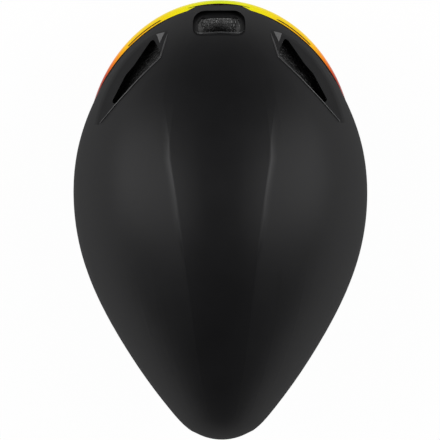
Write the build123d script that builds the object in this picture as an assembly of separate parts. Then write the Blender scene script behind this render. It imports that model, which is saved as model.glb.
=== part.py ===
from build123d import *
import math
import os

# An aero time trial helmet with a wrap-round magnetic visor. Units are millimetres.
# The rider faces -Y, +X is the rider's left and +Z is up. The helmet stands on its rim at Z = 0.

# Overall sizes
overall_length = 325.0
overall_width = 218.0
overall_height = 193.0

# Walls, gaps and running clearances
shell_wall = 1.8
rim_wall = 2.4
bond_gap = 0.3
running_gap = 0.35
cut_overrun = 60.0

# Rim line, seen from the side, and the arch for the neck
brow_edge_height = 96.0
rim_corner_radius = 5.0
neck_arch_half_width = 56.0
neck_arch_height = 66.0
neck_arch_radius = 34.0
neck_arch_front = 10.0

# Ridges that run from the crown towards the tail
ridge_height = 1.7
ridge_flare = 24.0

# Visor
lens_thickness = 2.2
visor_gap = 0.7
visor_half_width = 99.1
visor_reach = 111.7
visor_bulge_height = 72.0
visor_upper_radius = 95.0
visor_lower_radius = 170.0
visor_form_bottom = 6.0
visor_form_top = 130.0
visor_form_levels = 10
lens_corner_radius = 4.0
nose_cut_half_width = 17.0
nose_cut_height = 44.0
nose_cut_flare = 9.0
nose_cut_radius = 11.0
lens_slot_height = 1.4
lens_slot_drop = 6.0

# Brow tab of the shell, which fills the notch at the top of the lens
tab_low_half_width = 15.0
tab_high_half_width = 25.0
tab_edge_height = 99.2
tab_top_height = 108.0

# Magnets that hold the visor
magnet_angle = 17.0
magnet_height = 62.0
magnet_radius = 4.5
magnet_thickness = 2.0
magnet_cup_wall = 1.3
magnet_slot_length = 40.0
magnet_slot_wall = 1.2

# Front vent: the recess in the shell and the opening in its floor
front_vent_half_width = 19.1
front_vent_front = 152.6
front_vent_rear = 132.7
front_vent_corners = (9.0, 5.0)
front_opening_half_width = 15.25
front_opening_front = 148.7
front_opening_rear = 134.6
front_opening_corners = (6.5, 3.5)
front_vent_depth = 3.0
front_duct_floor = 118.0
front_duct_roof = 137.0
front_duct_end = 100.0
front_duct_corner = 5.0

# Side scoops
scoop_lip_overrun = 60.0
scoop_lip_thickness = 1.5
scoop_well_depth = 12.0
scoop_duct_radius = 6.0
scoop_duct_length = 46.0
scoop_blend_radius = 8.0

# Head cavity
cavity_half_width = 82.0
cavity_half_length = 103.0
cavity_centre_y = -27.0
cavity_equator = 95.0
cavity_rise = 68.0
ear_half_width = 97.0
ear_half_length = 42.0
ear_half_height = 52.0
ear_centre_y = -20.0
ear_centre_height = 45.0
channel_depth = 9.0
channel_half_width = 8.5
channel_spacing = 34.0
channel_lowest = 116.0

# Exhaust port in the tail
port_half_width = 22.0
port_bottom = 94.0
port_top = 116.0
port_corner_radius = 7.0
port_tunnel_front = 60.0
surround_wall = 1.6
surround_depth = 16.0
surround_inset = 0.5

# Comfort pads
pad_thickness = 5.0
pad_corner_radius = 6.0

# Fit ring: a plane tilted about the temple pins, with the belts on one circle
ring_tilt = 25.0
temple_half_spacing = 76.0
temple_y = -45.0
temple_height = 88.0
belt_radius = 62.0
belt_setback = 51.0
belt_thickness = 1.4
belt_slot_gap = 0.3
belt_height = 13.0
headband_thickness = 1.6
headband_height = 15.0
headband_end_angle = 34.0
headband_loop_gap_angle = 2.0
headband_loop_angle = 5.0
temple_eye_radius = 7.5
temple_pin_radius = 2.6
temple_pin_gap = 0.06
temple_head_radius = 4.4
temple_head_thickness = 1.2
temple_base_radius = 9.0
temple_base_thickness = 2.4

# Adjuster: housing, cover, pinion, racks and dial
housing_half_angle = 24.0
housing_inner_wall = 3.4
housing_outer_wall = 1.6
housing_half_height = 11.5
cover_thickness = 2.4
pinion_radius = 5.0
pinion_teeth = 10
tooth_addendum = 0.7
tooth_clearance = 0.3
tooth_backlash = 0.3
rack_root_width = 2.0
bearing_radius = 2.0
bearing_gap = 0.06
dial_radius = 17.0
dial_thickness = 9.0
dial_flutes = 20
dial_flute_radius = 1.5
dial_hub_radius = 3.4
dial_cup_radius = 12.5
dial_cup_depth = 1.6
dial_screw_radius = 3.0
dial_screw_thickness = 1.6
dial_screw_slot = 0.9

# Occipital cradle
cradle_thickness = 2.0
cradle_half_width = 38.0
cradle_top = 10.0
cradle_bottom = -32.0
cradle_corner_radius = 9.0
cradle_reach_angle = 75.0
cradle_window_half_width = 13.0
cradle_window_height = 10.5
cradle_window_drop = 8.4
cradle_pad_thickness = 3.2
cradle_pad_width = 18.0
cradle_pad_height = 17.0

# Harness webbing, anchors, dividers and chin straps
web_width = 15.0
web_thickness = 1.2
web_lane = 0.95
anchor_width = 19.0
anchor_height = 12.0
anchor_depth = 4.6
anchor_sink = 0.6
front_anchor_angle = -15.5
front_anchor_height = 60.0
rear_anchor_angle = 52.5
rear_anchor_height = 76.0
divider_half_spacing = 70.0
divider_height = 18.0
divider_width = 27.0
divider_length = 24.0
divider_thickness = 5.2
divider_corner_radius = 4.0

# Magnetic slide buckle on the chin strap
buckle_half_length = 20.0
buckle_half_width = 11.0
buckle_thickness = 11.6
buckle_floor = 0.6
buckle_corner_radius = 2.0
buckle_neck_width = 4.0
head_length = 11.0
head_half_width = 7.0
head_thickness = 5.0
neck_thickness = 2.4
socket_end = 8.0
strap_end_overlap = 5.0
table_gap = 0.6
chin_slope_length = 18.0
chin_bend_radius = 4.5
tab_pull_length = 12.0
tab_pull_thickness = 2.0

# Derived places
half_width = overall_width / 2
half_length = overall_length / 2
centre_share = 0.4
centre_height = centre_share * overall_height
side_reach = half_width + cut_overrun

# The rim line from the brow round to the tail, as shares of the overall length and height
rim_shares = (
    (0.137, 0.4974), (0.180, 0.432), (0.217, 0.321), (0.2415, 0.197), (0.266, 0.0725), (0.303, 0.0),
    (0.608, 0.0), (0.691, 0.052), (0.777, 0.176), (0.863, 0.311), (0.946, 0.383), (1.177, 0.470),
)
# The side outline of the lens, clockwise from the front of its top edge
lens_shares = (
    (-0.038, 0.562), (0.0168, 0.5596), (0.0938, 0.5415), (0.158, 0.5026), (0.226, 0.456),
    (0.266, 0.425), (0.269, 0.363), (0.263, 0.269), (0.251, 0.176), (0.211, 0.093),
    (0.100, 0.0725), (-0.038, 0.0725),
)
# Ends of the thin slot near the top edge of the lens
lens_slot_shares = ((0.0508, 0.5185), (0.1049, 0.5060))
# The lip of a side scoop in plan, from its tip, as shares of the half width and the length
scoop_lip_shares = ((0.346, 0.0852), (0.3935, 0.139), (0.542, 0.188), (0.6745, 0.2354), (0.810, 0.2868))
# Three places on the floor of the scoop: half width, length and height shares
scoop_floor_shares = ((0.346, 0.0852, 0.686), (0.650, 0.1645, 0.6306), (0.810, 0.2868, 0.6741))
# The outer edge of the opening below the lip
scoop_opening_shares = ((0.447, 0.103), (0.562, 0.159), (0.615, 0.179), (0.700, 0.234))
# Where the side duct starts and the place inside the cavity that it points to
scoop_duct_shares = ((0.59, 0.192, 0.665), (0.20, 0.36, 0.640))

# Body stations: place along the length, half width, crown, widest and keel heights, as shares
nose_shares = (0.0135, 0.477)
tail_shares = (1.0, 0.554)
station_shares = (
    (0.0242, 0.2320, 0.5803, 0.4767, 0.3834),
    (0.0441, 0.3500, 0.6684, 0.4715, 0.2694),
    (0.0825, 0.5270, 0.7617, 0.4611, 0.1000),
    (0.1406, 0.6930, 0.8446, 0.4456, -0.080),
    (0.2264, 0.8480, 0.9223, 0.4301, -0.200),
    (0.3337, 0.9650, 0.9741, 0.4093, -0.280),
    (0.4561, 1.0000, 1.0000, 0.3938, -0.310),
    (0.5787, 0.9470, 0.9922, 0.3990, -0.280),
    (0.6860, 0.8270, 0.9585, 0.4145, -0.220),
    (0.7840, 0.6660, 0.9041, 0.4404, -0.120),
    (0.8698, 0.4960, 0.8368, 0.4715, 0.0200),
    (0.9372, 0.3400, 0.7642, 0.5026, 0.1700),
    (0.9754, 0.2280, 0.7047, 0.5285, 0.3300),
    (0.9938, 0.1220, 0.6451, 0.5440, 0.4400),
)
upper_power = 2.15
lower_power = 2.6
# At each station: how much of its height a ridge has, and its place in the half width
ridge_rise_shares = (0.0, 0.0, 0.0, 0.0, 0.15, 0.7, 1.0, 1.0, 0.85, 0.4, 0.0, 0.0, 0.0, 0.0)
ridge_place_shares = (0.435, 0.435, 0.435, 0.435, 0.435, 0.341, 0.285, 0.254, 0.246, 0.252, 0.26, 0.27, 0.27, 0.27)


def along(share):
    """The Y of a share of the overall length, counted from the front of the visor."""
    return -half_length + share * overall_length


def up(share):
    """The height of a share of the overall height."""
    return share * overall_height


def place(shares):
    """A point from its shares of the half width, length and height."""
    return Vector(shares[0] * half_width, along(shares[1]), up(shares[2]))


def arch_point(angle, width, rise, power):
    """A point of a superellipse quarter, from (width, 0) at angle 0 to (0, rise) at 90 degrees."""
    x = width * max(math.cos(angle), 0.0) ** (2 / power)
    z = rise * max(math.sin(angle), 0.0) ** (2 / power)
    return x, z


def even_spline(points):
    """A spline whose points lie at even parameters, so that all sections share their knots."""
    last = len(points) - 1
    return Edge.make_spline(points, parameters=[i / last for i in range(last + 1)])


def body_section(station, inset, ridge_rise, ridge_place):
    """One closed cross-section of the body, split at the keel, the widest points and the ridges."""
    shrink_x = 1 - inset / half_width
    shrink_y = 1 - inset / half_length
    shrink_z = 1 - inset / (overall_height - centre_height)
    y = along(station[0]) * shrink_y
    width = station[1] * half_width * shrink_x
    crown_height = overall_height - ridge_height
    crown, widest, keel = (
        centre_height + (share * crown_height - centre_height) * shrink_z for share in station[2:]
    )
    ridge_x = ridge_place * width
    ridge_angle = math.acos(ridge_place ** (upper_power / 2))
    rise = ridge_rise * ridge_height

    def upper(angle):
        x, z = arch_point(angle, width, crown - widest, upper_power)
        out = min(max((x - ridge_x) / ridge_flare, 0.0), 1.0)
        return Vector(x, y, widest + z + rise * (1 - out) ** 2)

    def lower(angle):
        x, z = arch_point(angle, width, widest - keel, lower_power)
        return Vector(x, y, widest - z)

    def mirrored(points):
        return [Vector(-p.X, p.Y, p.Z) for p in reversed(points)]

    crown_steps = 3
    steps = 8
    quarter = math.pi / 2
    crown_half = [upper(quarter - (quarter - ridge_angle) * i / crown_steps) for i in range(crown_steps + 1)]
    flank = [upper(ridge_angle * (1 - i / steps)) for i in range(steps + 1)]
    under = [lower(quarter * i / steps) for i in range(steps + 1)]
    runs = [mirrored(under), mirrored(flank), mirrored(crown_half)[:-1] + crown_half, flank, under]
    return Wire([even_spline(run) for run in runs])


def body(inset=0.0):
    """The whole outer form as one closed solid, drawn in by inset."""
    shrink_y = 1 - inset / half_length
    shrink_z = 1 - inset / (overall_height - centre_height)

    def tip(shares):
        z = centre_height + (up(shares[1]) - centre_height) * shrink_z
        return Vertex(0, along(shares[0]) * shrink_y, z)

    sections = [
        body_section(station, inset, rise, ridge_place)
        for station, rise, ridge_place in zip(station_shares, ridge_rise_shares, ridge_place_shares)
    ]
    return Solid.make_loft([tip(nose_shares), *sections, tip(tail_shares)], False)


def rounded(points, radius):
    """A flat face with rounded corners."""
    flat = make_face(Polyline(*points, close=True))
    return fillet(flat.vertices(), radius)


def grown(flat, amount):
    """A flat face with its edge moved outwards by amount."""
    return offset(flat, amount, kind=Kind.ARC) if amount else flat


def across(flat):
    """A solid wider than the helmet from an outline in side view."""
    return extrude(Plane.YZ * flat, side_reach, dir=(1, 0, 0), both=True)


def upright(flat, low, high):
    """A solid from an outline in plan, between two heights."""
    return extrude(Pos(0, 0, low) * flat, high - low)


def lengthwise(flat, front, rear):
    """A solid from an outline in front view, between two places along the length."""
    return extrude(Plane.XZ.offset(-front) * flat, -(rear - front))


def side_face(shares, radius):
    return rounded([(along(a), up(u)) for a, u in shares], radius)


def below_rim(growth=0.0):
    """What is cut away below the rim line, and the arch for the neck."""
    far = half_length + cut_overrun
    points = [(-far, brow_edge_height)]
    points += [(along(a), up(u)) for a, u in rim_shares]
    points += [(far, -cut_overrun), (-far, -cut_overrun)]
    side = across(grown(rounded(points, rim_corner_radius), growth))
    arch = make_face(
        Polyline(
            (-neck_arch_half_width, -cut_overrun),
            (neck_arch_half_width, -cut_overrun),
            (neck_arch_half_width, neck_arch_height),
            (-neck_arch_half_width, neck_arch_height),
            close=True,
        )
    )
    arch = fillet(arch.vertices().sort_by(Axis.Y)[-2:], neck_arch_radius)
    return [side, lengthwise(grown(arch, growth), neck_arch_front - growth, far)]


# Visor form

visor_centre_y = -half_length + visor_reach


def visor_drop(height):
    """How far the visor form has drawn in at a height."""
    radius = visor_upper_radius if height > visor_bulge_height else visor_lower_radius
    return radius - math.sqrt(radius**2 - (height - visor_bulge_height) ** 2)


def visor_form(inset=0.0):
    """The full dome that the visor is cut from, drawn in by inset."""
    sections = []
    for level in range(visor_form_levels):
        height = visor_form_bottom + (visor_form_top - visor_form_bottom) * level / (visor_form_levels - 1)
        drop = visor_drop(height) + inset
        ellipse = Ellipse(visor_half_width - drop, visor_reach - drop)
        sections.append((Pos(0, visor_centre_y, height) * ellipse).face().outer_wire())
    return Solid.make_loft(sections, False)


def tab_block(inset=0.0):
    """The space of the brow tab, which tapers downwards in front view, drawn in by inset."""
    slope = (tab_high_half_width - tab_low_half_width) / (tab_top_height - tab_edge_height)
    far = tab_low_half_width + slope * (overall_height - tab_edge_height)
    flat = make_face(
        Polyline(
            (-tab_low_half_width, tab_edge_height),
            (tab_low_half_width, tab_edge_height),
            (far, overall_height),
            (-far, overall_height),
            close=True,
        )
    )
    return lengthwise(grown(flat, -inset), -half_length - cut_overrun, -half_length / 2)


def visor_recess(inset=0.0):
    """The step in the body that the lens lies in, drawn in by inset."""
    outline = grown(side_face(lens_shares, lens_corner_radius), visor_gap + inset)
    return across(outline) - [visor_form(lens_thickness + visor_gap + inset), tab_block(inset)]


# Front vent

def vent_outline(half, front, rear, corners):
    """A rounded rectangle in plan, with its own radii at the front and the rear corners."""
    flat = make_face(Polyline((-half, -front), (half, -front), (half, -rear), (-half, -rear), close=True))
    for radius, corner_y in zip(corners, (-front, -rear)):
        picked = [vertex for vertex in flat.vertices() if abs(vertex.Y - corner_y) < bond_gap]
        flat = fillet(picked, radius)
    return flat


def front_vent_recess(inset=0.0):
    """The shallow recess round the front vent, drawn in by inset."""
    outline = vent_outline(front_vent_half_width, front_vent_front, front_vent_rear, front_vent_corners)
    return upright(grown(outline, inset), tab_edge_height, overall_height) - body(front_vent_depth + inset)


def front_duct():
    """The way in from the front vent, through the foam to the cavity."""
    opening = vent_outline(
        front_opening_half_width, front_opening_front, front_opening_rear, front_opening_corners
    )
    section = Pos(0, (front_duct_floor + front_duct_roof) / 2) * RectangleRounded(
        2 * front_opening_half_width, front_duct_roof - front_duct_floor, front_duct_corner
    )
    well = upright(opening, front_duct_floor, overall_height)
    return [well, lengthwise(section, -front_opening_front, -front_duct_end)]


# Side scoops

def scoop_floor(drop=0.0):
    """The floor plane of the left scoop, lowered by drop."""
    tip, middle, tail = (place(shares) for shares in scoop_floor_shares)
    normal = (middle - tip).cross(tail - tip).normalized()
    return Plane(origin=middle - normal * drop, z_dir=normal)


def scoop_above(drop):
    """Everything outside the floor plane of the left scoop, with the plane lowered by drop."""
    reach = overall_length
    return scoop_floor(drop) * Box(reach, reach, reach, align=(Align.CENTER, Align.CENTER, Align.MIN))


def scoop_lip():
    return [(x * half_width, along(a)) for x, a in scoop_lip_shares]


def scoop(inset=0.0):
    """The left scoop, a flat-floored hollow under a sharp lip, drawn in by inset."""
    lip = scoop_lip()
    outer = lip[-1][0] + scoop_lip_overrun
    front = lip[0][1] - scoop_lip_overrun
    flat = make_face(Polyline(*lip, (outer, lip[-1][1]), (outer, front), (lip[0][0], front), close=True))
    return upright(grown(flat, inset), 0, overall_height) & scoop_above(inset)


def scoop_opening():
    """The opening below the lip of the left scoop, as a tall prism that reaches under the lip."""
    outer = [(x * half_width, along(a)) for x, a in scoop_opening_shares]
    lip = scoop_lip()[1:4]
    flat = make_face(Polyline(*outer, *reversed(lip), close=True))
    return upright(grown(flat, shell_wall + bond_gap / 2), 0, overall_height)


def scoop_well():
    """The well in the foam below the opening of the left scoop, and the duct to the cavity."""
    start, target = (place(shares) for shares in scoop_duct_shares)
    duct = Plane(origin=start, z_dir=target - start) * Cylinder(
        scoop_duct_radius, scoop_duct_length, align=(Align.CENTER, Align.CENTER, Align.MIN)
    )
    return [scoop_opening() & scoop_above(scoop_well_depth), duct]


def largest(shape):
    """The main solid of a shape, without the crumbs that cuts can leave."""
    return shape.solids().sort_by(SortBy.VOLUME)[-1]


def both_sides(shapes):
    """A shape or list of shapes with their mirror images on the other side."""
    shapes = shapes if isinstance(shapes, list) else [shapes]
    return shapes + [mirror(shape, Plane.YZ) for shape in shapes]


# Visor magnets

def magnet_plane():
    """The plane on the outer face of the lens at the left magnet, with its Z pointing outwards."""
    angle = math.radians(magnet_angle)
    drop = visor_drop(magnet_height)
    wide = visor_half_width - drop
    long = visor_reach - drop
    point = Vector(wide * math.cos(angle), visor_centre_y - long * math.sin(angle), magnet_height)
    slope = (magnet_height - visor_bulge_height) / visor_lower_radius
    flat_normal = Vector(math.cos(angle) / wide, -math.sin(angle) / long, 0).normalized()
    return Plane(origin=point, x_dir=(0, 0, 1), z_dir=flat_normal + Vector(0, 0, slope))


def magnet_disc(radius, start, end):
    """A disc behind the left side of the lens, between two depths."""
    return magnet_plane() * Pos(0, 0, -end) * Cylinder(
        radius, end - start, align=(Align.CENTER, Align.CENTER, Align.MIN)
    )


cup_start = lens_thickness + bond_gap
cup_end = cup_start + magnet_cup_wall + magnet_thickness
cup_radius = magnet_radius + magnet_cup_wall
slot_floor = cup_end + running_gap
slot_back = slot_floor + magnet_slot_wall


def magnet_slot(start, end, growth=0.0):
    """The slot that the left magnet cup slides forwards out of, between two depths."""
    half = cup_radius + 2 * running_gap + growth
    flat = SlotOverall(2 * (magnet_slot_length + half), 2 * half)
    run = magnet_plane() * Pos(0, 0, -end) * Rot(0, 0, 90) * extrude(flat, end - start)
    side = magnet_plane()
    forwards = side.y_dir if side.y_dir.Y < 0 else -side.y_dir
    return Pos(*(forwards * magnet_slot_length)) * run


def carved_body(inset=0.0):
    """The outer form with the visor recess, front vent recess and side scoops, drawn in by inset."""
    return body(inset) - [visor_recess(inset), front_vent_recess(inset), *both_sides(scoop(inset))]


def with_soft_scoops(form):
    """The outer form with the outer edge of each scoop's floor blended into the flank."""
    floor = scoop_floor()

    def on_floor(edge):
        middle = edge @ 0.5
        left = Vector(abs(middle.X), middle.Y, middle.Z)
        return abs(floor.to_local_coords(left).Z) < bond_gap / 10

    curved = [edge for edge in form.edges() if edge.geom_type == GeomType.BSPLINE and on_floor(edge)]
    return fillet(curved, scoop_blend_radius)


def port(growth=0.0):
    """The exhaust port and its tunnel, from inside the cavity to beyond the tail."""
    section = Pos(0, (port_bottom + port_top) / 2) * RectangleRounded(
        2 * (port_half_width + growth), port_top - port_bottom + 2 * growth, port_corner_radius + growth
    )
    return lengthwise(section, port_tunnel_front, side_reach + half_length)


def tail_space():
    """Everything behind the middle of the tail."""
    return Pos(0, half_length - surround_depth, 0) * Box(
        overall_width, overall_length, overall_length, align=(Align.CENTER, Align.MIN, Align.CENTER)
    )


# Head cavity

def cavity_dome(growth=0.0):
    """The upper half of the cavity, as an egg-shaped dome."""
    unit = Sphere(1, arc_size1=0, align=(Align.CENTER, Align.CENTER, Align.MIN))
    size = (cavity_half_width + growth, cavity_half_length + growth, cavity_rise + growth)
    return Pos(0, cavity_centre_y, cavity_equator) * scale(unit, by=size)


def cavity_well(growth=0.0):
    """The lower part of the cavity, an upright oval well."""
    oval = Ellipse(cavity_half_length + growth, cavity_half_width + growth, rotation=90)
    return upright(Pos(0, cavity_centre_y) * oval, -cut_overrun, cavity_equator)


def ear_space():
    """The extra room round the ears."""
    size = (ear_half_width, ear_half_length, ear_half_height)
    return Pos(0, ear_centre_y, ear_centre_height) * scale(Sphere(1), by=size)


def air_channels():
    """Three channels along the roof of the cavity."""
    slabs = [
        Pos(offset_x, cavity_centre_y, channel_lowest) * Box(
            2 * channel_half_width, overall_length, overall_height,
            align=(Align.CENTER, Align.CENTER, Align.MIN),
        )
        for offset_x in (-channel_spacing, 0, channel_spacing)
    ]
    return cavity_dome(channel_depth) & Part(children=slabs)


def head_space():
    return [cavity_dome(), cavity_well(), ear_space()]


# Shell, rim and foam

def magnet_boss(growth=0.0):
    """The raised back of the slot that the left magnet cup slides in."""
    start = lens_thickness + visor_gap + shell_wall / 2
    return magnet_slot(start, slot_back + growth, magnet_slot_wall + growth)


def make_outer_shell(outer, inner):
    """The thin hard shell over the foam."""
    cuts = both_sides(magnet_slot(-cut_overrun, slot_floor))
    cuts += both_sides(scoop_opening() & body(scoop_lip_thickness))
    opening = front_duct()[0]
    exhaust = port() & tail_space()
    shell = outer - inner + both_sides(magnet_boss())
    return shell - [*cuts, opening, exhaust, *below_rim(rim_wall + bond_gap)]


def make_lower_shell(outer):
    """The hard rim that closes the foam from below and stands on the table."""
    cuts = [*below_rim(), *head_space(), *both_sides(magnet_slot(-cut_overrun, slot_floor))]
    slabs = [part & outer for part in below_rim(rim_wall)]
    return slabs[0] + slabs[1] - cuts


def make_foam_liner(inner):
    """The foam liner with the head cavity, air channels and ducts."""
    cuts = [*below_rim(rim_wall + bond_gap), *head_space(), air_channels(), port()]
    cuts += front_duct()
    cuts += both_sides(scoop_well())
    cuts += both_sides(magnet_boss(bond_gap))
    cuts += both_sides(magnet_disc(magnet_radius + bond_gap, slot_back, slot_back + magnet_thickness + bond_gap))
    cuts += both_sides(temple_base(bond_gap))
    cuts += both_sides([anchor_block("front", bond_gap), anchor_block("rear", bond_gap)])
    return largest(inner - cuts)


def make_exhaust_surround():
    """The trim that lines the exhaust port, with one upright fin."""
    mouth = port(-bond_gap) & tail_space()
    fin = Pos(0, half_length, (port_bottom + port_top) / 2) * Box(
        surround_wall, 2 * surround_depth, port_top - port_bottom - surround_wall
    )
    frame = mouth - port(-bond_gap - surround_wall) + (fin & mouth)
    return frame & body(surround_inset)


# Visor parts

def make_visor_lens():
    """The wrap-round lens with its notch, nose cut and thin side slots."""
    blank = across(side_face(lens_shares, lens_corner_radius)) & visor_form()
    low = -cut_overrun
    nose = make_face(
        Polyline(
            (-nose_cut_half_width - nose_cut_flare, low),
            (nose_cut_half_width + nose_cut_flare, low),
            (nose_cut_half_width, nose_cut_height),
            (-nose_cut_half_width, nose_cut_height),
            close=True,
        )
    )
    nose = fillet(nose.vertices().sort_by(Axis.Y)[-2:], nose_cut_radius)
    (front, front_up), (rear, rear_up) = lens_slot_shares
    half = lens_slot_height / 2
    slot = make_face(
        Polyline(
            (along(front), up(front_up) - half),
            (along(rear), up(rear_up) - half),
            (along(rear), up(rear_up) + half),
            (along(front), up(front_up) + half),
            close=True,
        )
    )
    notch = tab_block(-visor_gap)
    return blank - [visor_form(lens_thickness), lengthwise(nose, -side_reach - half_length, 0), across(slot), notch]


def make_magnet_cups():
    """The cups bonded behind the lens that hold its magnets."""
    cup = magnet_disc(cup_radius, cup_start, cup_end)
    pocket = magnet_disc(magnet_radius + bond_gap / 4, cup_start + magnet_cup_wall, cup_end)
    return both_sides(cup - pocket)


def make_visor_magnets():
    return both_sides(magnet_disc(magnet_radius, cup_start + magnet_cup_wall, cup_end))


def make_shell_magnets():
    return both_sides(magnet_disc(magnet_radius, slot_back, slot_back + magnet_thickness))


# Comfort pads: each is a patch of a skin that lies just inside the cavity

def pad_skin(lift_share=0.0):
    """The skin that one pad is cut from, lifted by a share of the bond gap."""
    gap = bond_gap * (1 + lift_share)
    return cavity_dome(-gap) - cavity_dome(-gap - pad_thickness)


# Half widths, lengths and heights of the pads as shares of the cavity, from its centre
brow_pad_shares = (0.82, 0.10, 0.40)
crown_lift_share = 0.3
side_lift_share = 0.6
crown_pad_shares = (0.165, 0.405, -0.58, 0.62)
side_pad_shares = (0.06, 0.50, 0.10, 0.46)


def make_brow_pad(skin):
    """The long pad across the forehead."""
    half, low, high = brow_pad_shares
    flat = Pos(0, cavity_equator + (low + high) / 2 * cavity_rise) * RectangleRounded(
        2 * half * cavity_half_width, (high - low) * cavity_rise, pad_corner_radius
    )
    front = cavity_centre_y - cavity_half_length
    return skin & lengthwise(flat, front - pad_thickness, cavity_centre_y)


def make_crown_pads(skin):
    """Two pads along the roof, between the air channels."""
    near, far, front, rear = crown_pad_shares
    flat = Pos((near + far) / 2 * cavity_half_width, cavity_centre_y + (front + rear) / 2 * cavity_half_length)
    flat = flat * RectangleRounded(
        (far - near) * cavity_half_width, (rear - front) * cavity_half_length, pad_corner_radius
    )
    return both_sides(skin & upright(flat, cavity_equator, overall_height))


def make_side_pad(skin):
    """The left side pad."""
    front, rear, low, high = side_pad_shares
    flat = rounded(
        [
            (cavity_centre_y + front * cavity_half_length, cavity_equator + low * cavity_rise),
            (cavity_centre_y + rear * cavity_half_length, cavity_equator + low * cavity_rise),
            (cavity_centre_y + rear * cavity_half_length, cavity_equator + high * cavity_rise),
            (cavity_centre_y + front * cavity_half_length, cavity_equator + high * cavity_rise),
        ],
        pad_corner_radius,
    )
    left = Box(side_reach, overall_length, 2 * overall_height, align=(Align.MIN, Align.CENTER, Align.CENTER))
    return skin & (across(flat) & left)


# Fit ring

ring_angle = math.radians(ring_tilt)
ring_plane = Plane(
    origin=(0, temple_y, temple_height), x_dir=(1, 0, 0), z_dir=(0, math.sin(ring_angle), math.cos(ring_angle))
)
belt_centre = (0, belt_setback)
belt_outer = belt_radius + belt_thickness / 2
headband_radius = belt_outer + belt_slot_gap + headband_thickness / 2
housing_inner_radius = belt_radius - belt_thickness / 2 - belt_slot_gap - housing_inner_wall
cover_start = belt_outer + belt_slot_gap + housing_outer_wall
cradle_radius = housing_inner_radius - bond_gap - cradle_thickness / 2
dial_start = cover_start + cover_thickness + running_gap
rack_root = pinion_radius + tooth_addendum + tooth_clearance
belt_half_height = rack_root + rack_root_width


def ring_band(radius, thickness, start, end, low, high):
    """A stretch of a ring about the belt centre, from start to end degrees off the rear."""
    outer = CenterArc(belt_centre, radius + thickness / 2, 90 - end, end - start)
    inner = CenterArc(belt_centre, radius - thickness / 2, 90 - end, end - start)
    flat = make_face([outer, Line(outer @ 1, inner @ 1), inner, Line(inner @ 0, outer @ 0)])
    return ring_plane * Pos(0, 0, low) * extrude(flat, high - low)


def rear_disc(radius, start, end):
    """A disc about the dial's axis, between two distances from the belt centre."""
    return ring_plane * Pos(0, belt_setback + start, 0) * Rot(-90, 0, 0) * Cylinder(
        radius, end - start, align=(Align.CENTER, Align.CENTER, Align.MIN)
    )


def temple_rod(radius, start, end):
    """A disc about the left temple pin, between two distances from the middle."""
    return Pos(start, temple_y, temple_height) * Rot(0, 90, 0) * Cylinder(
        radius, end - start, align=(Align.CENTER, Align.CENTER, Align.MIN)
    )


eye_inner = temple_half_spacing - headband_thickness / 2
eye_outer = temple_half_spacing + headband_thickness / 2
base_start = eye_outer + bond_gap
base_end = base_start + 2 * temple_base_thickness


def temple_base(growth=0.0):
    return temple_rod(temple_base_radius + growth, base_start - growth, base_end + growth)


def make_temple_pins():
    """The pins on the foam that carry the headbands, with their heads and sunk bases."""
    head_start = eye_inner - bond_gap - temple_head_thickness
    pin = temple_base() + temple_rod(temple_pin_radius, head_start, base_start)
    return both_sides(pin + temple_rod(temple_head_radius, head_start, eye_inner - bond_gap))


def make_headband():
    """The left headband: an eye on the temple pin, a straight arm and a curved end with a loop."""
    reach = math.hypot(temple_half_spacing, belt_setback)
    meet = math.atan2(-belt_setback, temple_half_spacing) + math.acos(headband_radius / reach)
    meet_point = Vector(
        headband_radius * math.cos(meet), belt_setback + headband_radius * math.sin(meet), 0
    )
    pivot = Vector(temple_half_spacing, 0, 0)
    run = meet_point - pivot
    skipped = temple_head_radius + bond_gap
    arm = Plane(origin=pivot, x_dir=run, z_dir=(0, 0, 1)) * Pos(skipped, 0, 0) * Box(
        run.length - skipped, headband_thickness, headband_height,
        align=(Align.MIN, Align.CENTER, Align.CENTER),
    )
    eye = temple_rod(temple_eye_radius, eye_inner, eye_outer)
    meet_angle = 90 - math.degrees(meet)
    half = headband_height / 2
    curve = ring_band(
        headband_radius, headband_thickness, headband_end_angle, meet_angle, -half, half
    )
    loop_start = headband_end_angle + headband_loop_gap_angle
    loop_end = loop_start + headband_loop_angle
    loop_half = belt_half_height + belt_slot_gap + headband_thickness
    deep = belt_thickness + 2 * belt_slot_gap + 2 * headband_thickness
    loop = ring_band(belt_radius, deep, loop_start, loop_end, -loop_half, loop_half)
    passage_half = belt_half_height + belt_slot_gap
    passage = ring_band(
        belt_radius, belt_thickness + 2 * belt_slot_gap, headband_end_angle - headband_loop_angle,
        meet_angle + headband_loop_angle, -passage_half, passage_half,
    )
    band = ring_plane * arm + eye + curve + loop - passage
    return band - temple_rod(temple_pin_radius + temple_pin_gap, eye_inner - cut_overrun, eye_outer)


# Adjuster

belt_travel_angle = 10.0
belt_start_angle = 28.0
belt_end_angle = 70.0
tongue_end_angle = -6.0
pressure_angle = 20.0
tooth_pitch = 2 * math.pi * pinion_radius / pinion_teeth
rack_step = math.degrees(tooth_pitch / belt_radius)
rack_first = -2
rack_last = 5


def tooth_half_width(height):
    """Half the width of a tooth at a height above its pitch line."""
    return (tooth_pitch / 2 - tooth_backlash) / 2 - height * math.tan(math.radians(pressure_angle))


def rack_tooth(step):
    """A tooth of the upper rack, at a number of pitches off the rear."""
    tip = pinion_radius - tooth_addendum
    tip_half = tooth_half_width(tooth_addendum)
    root_half = tooth_half_width(-tooth_addendum - tooth_clearance)
    root = rack_root + rack_root_width / 2
    flat = make_face(Polyline((-tip_half, -tip), (tip_half, -tip), (root_half, -root), (-root_half, -root), close=True))
    start = belt_radius - belt_thickness / 2
    tooth = Pos(0, start, 0) * Rot(-90, 0, 0) * extrude(flat, belt_thickness)
    return ring_plane * Pos(*belt_centre) * Rot(0, 0, -step * rack_step) * tooth


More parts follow.
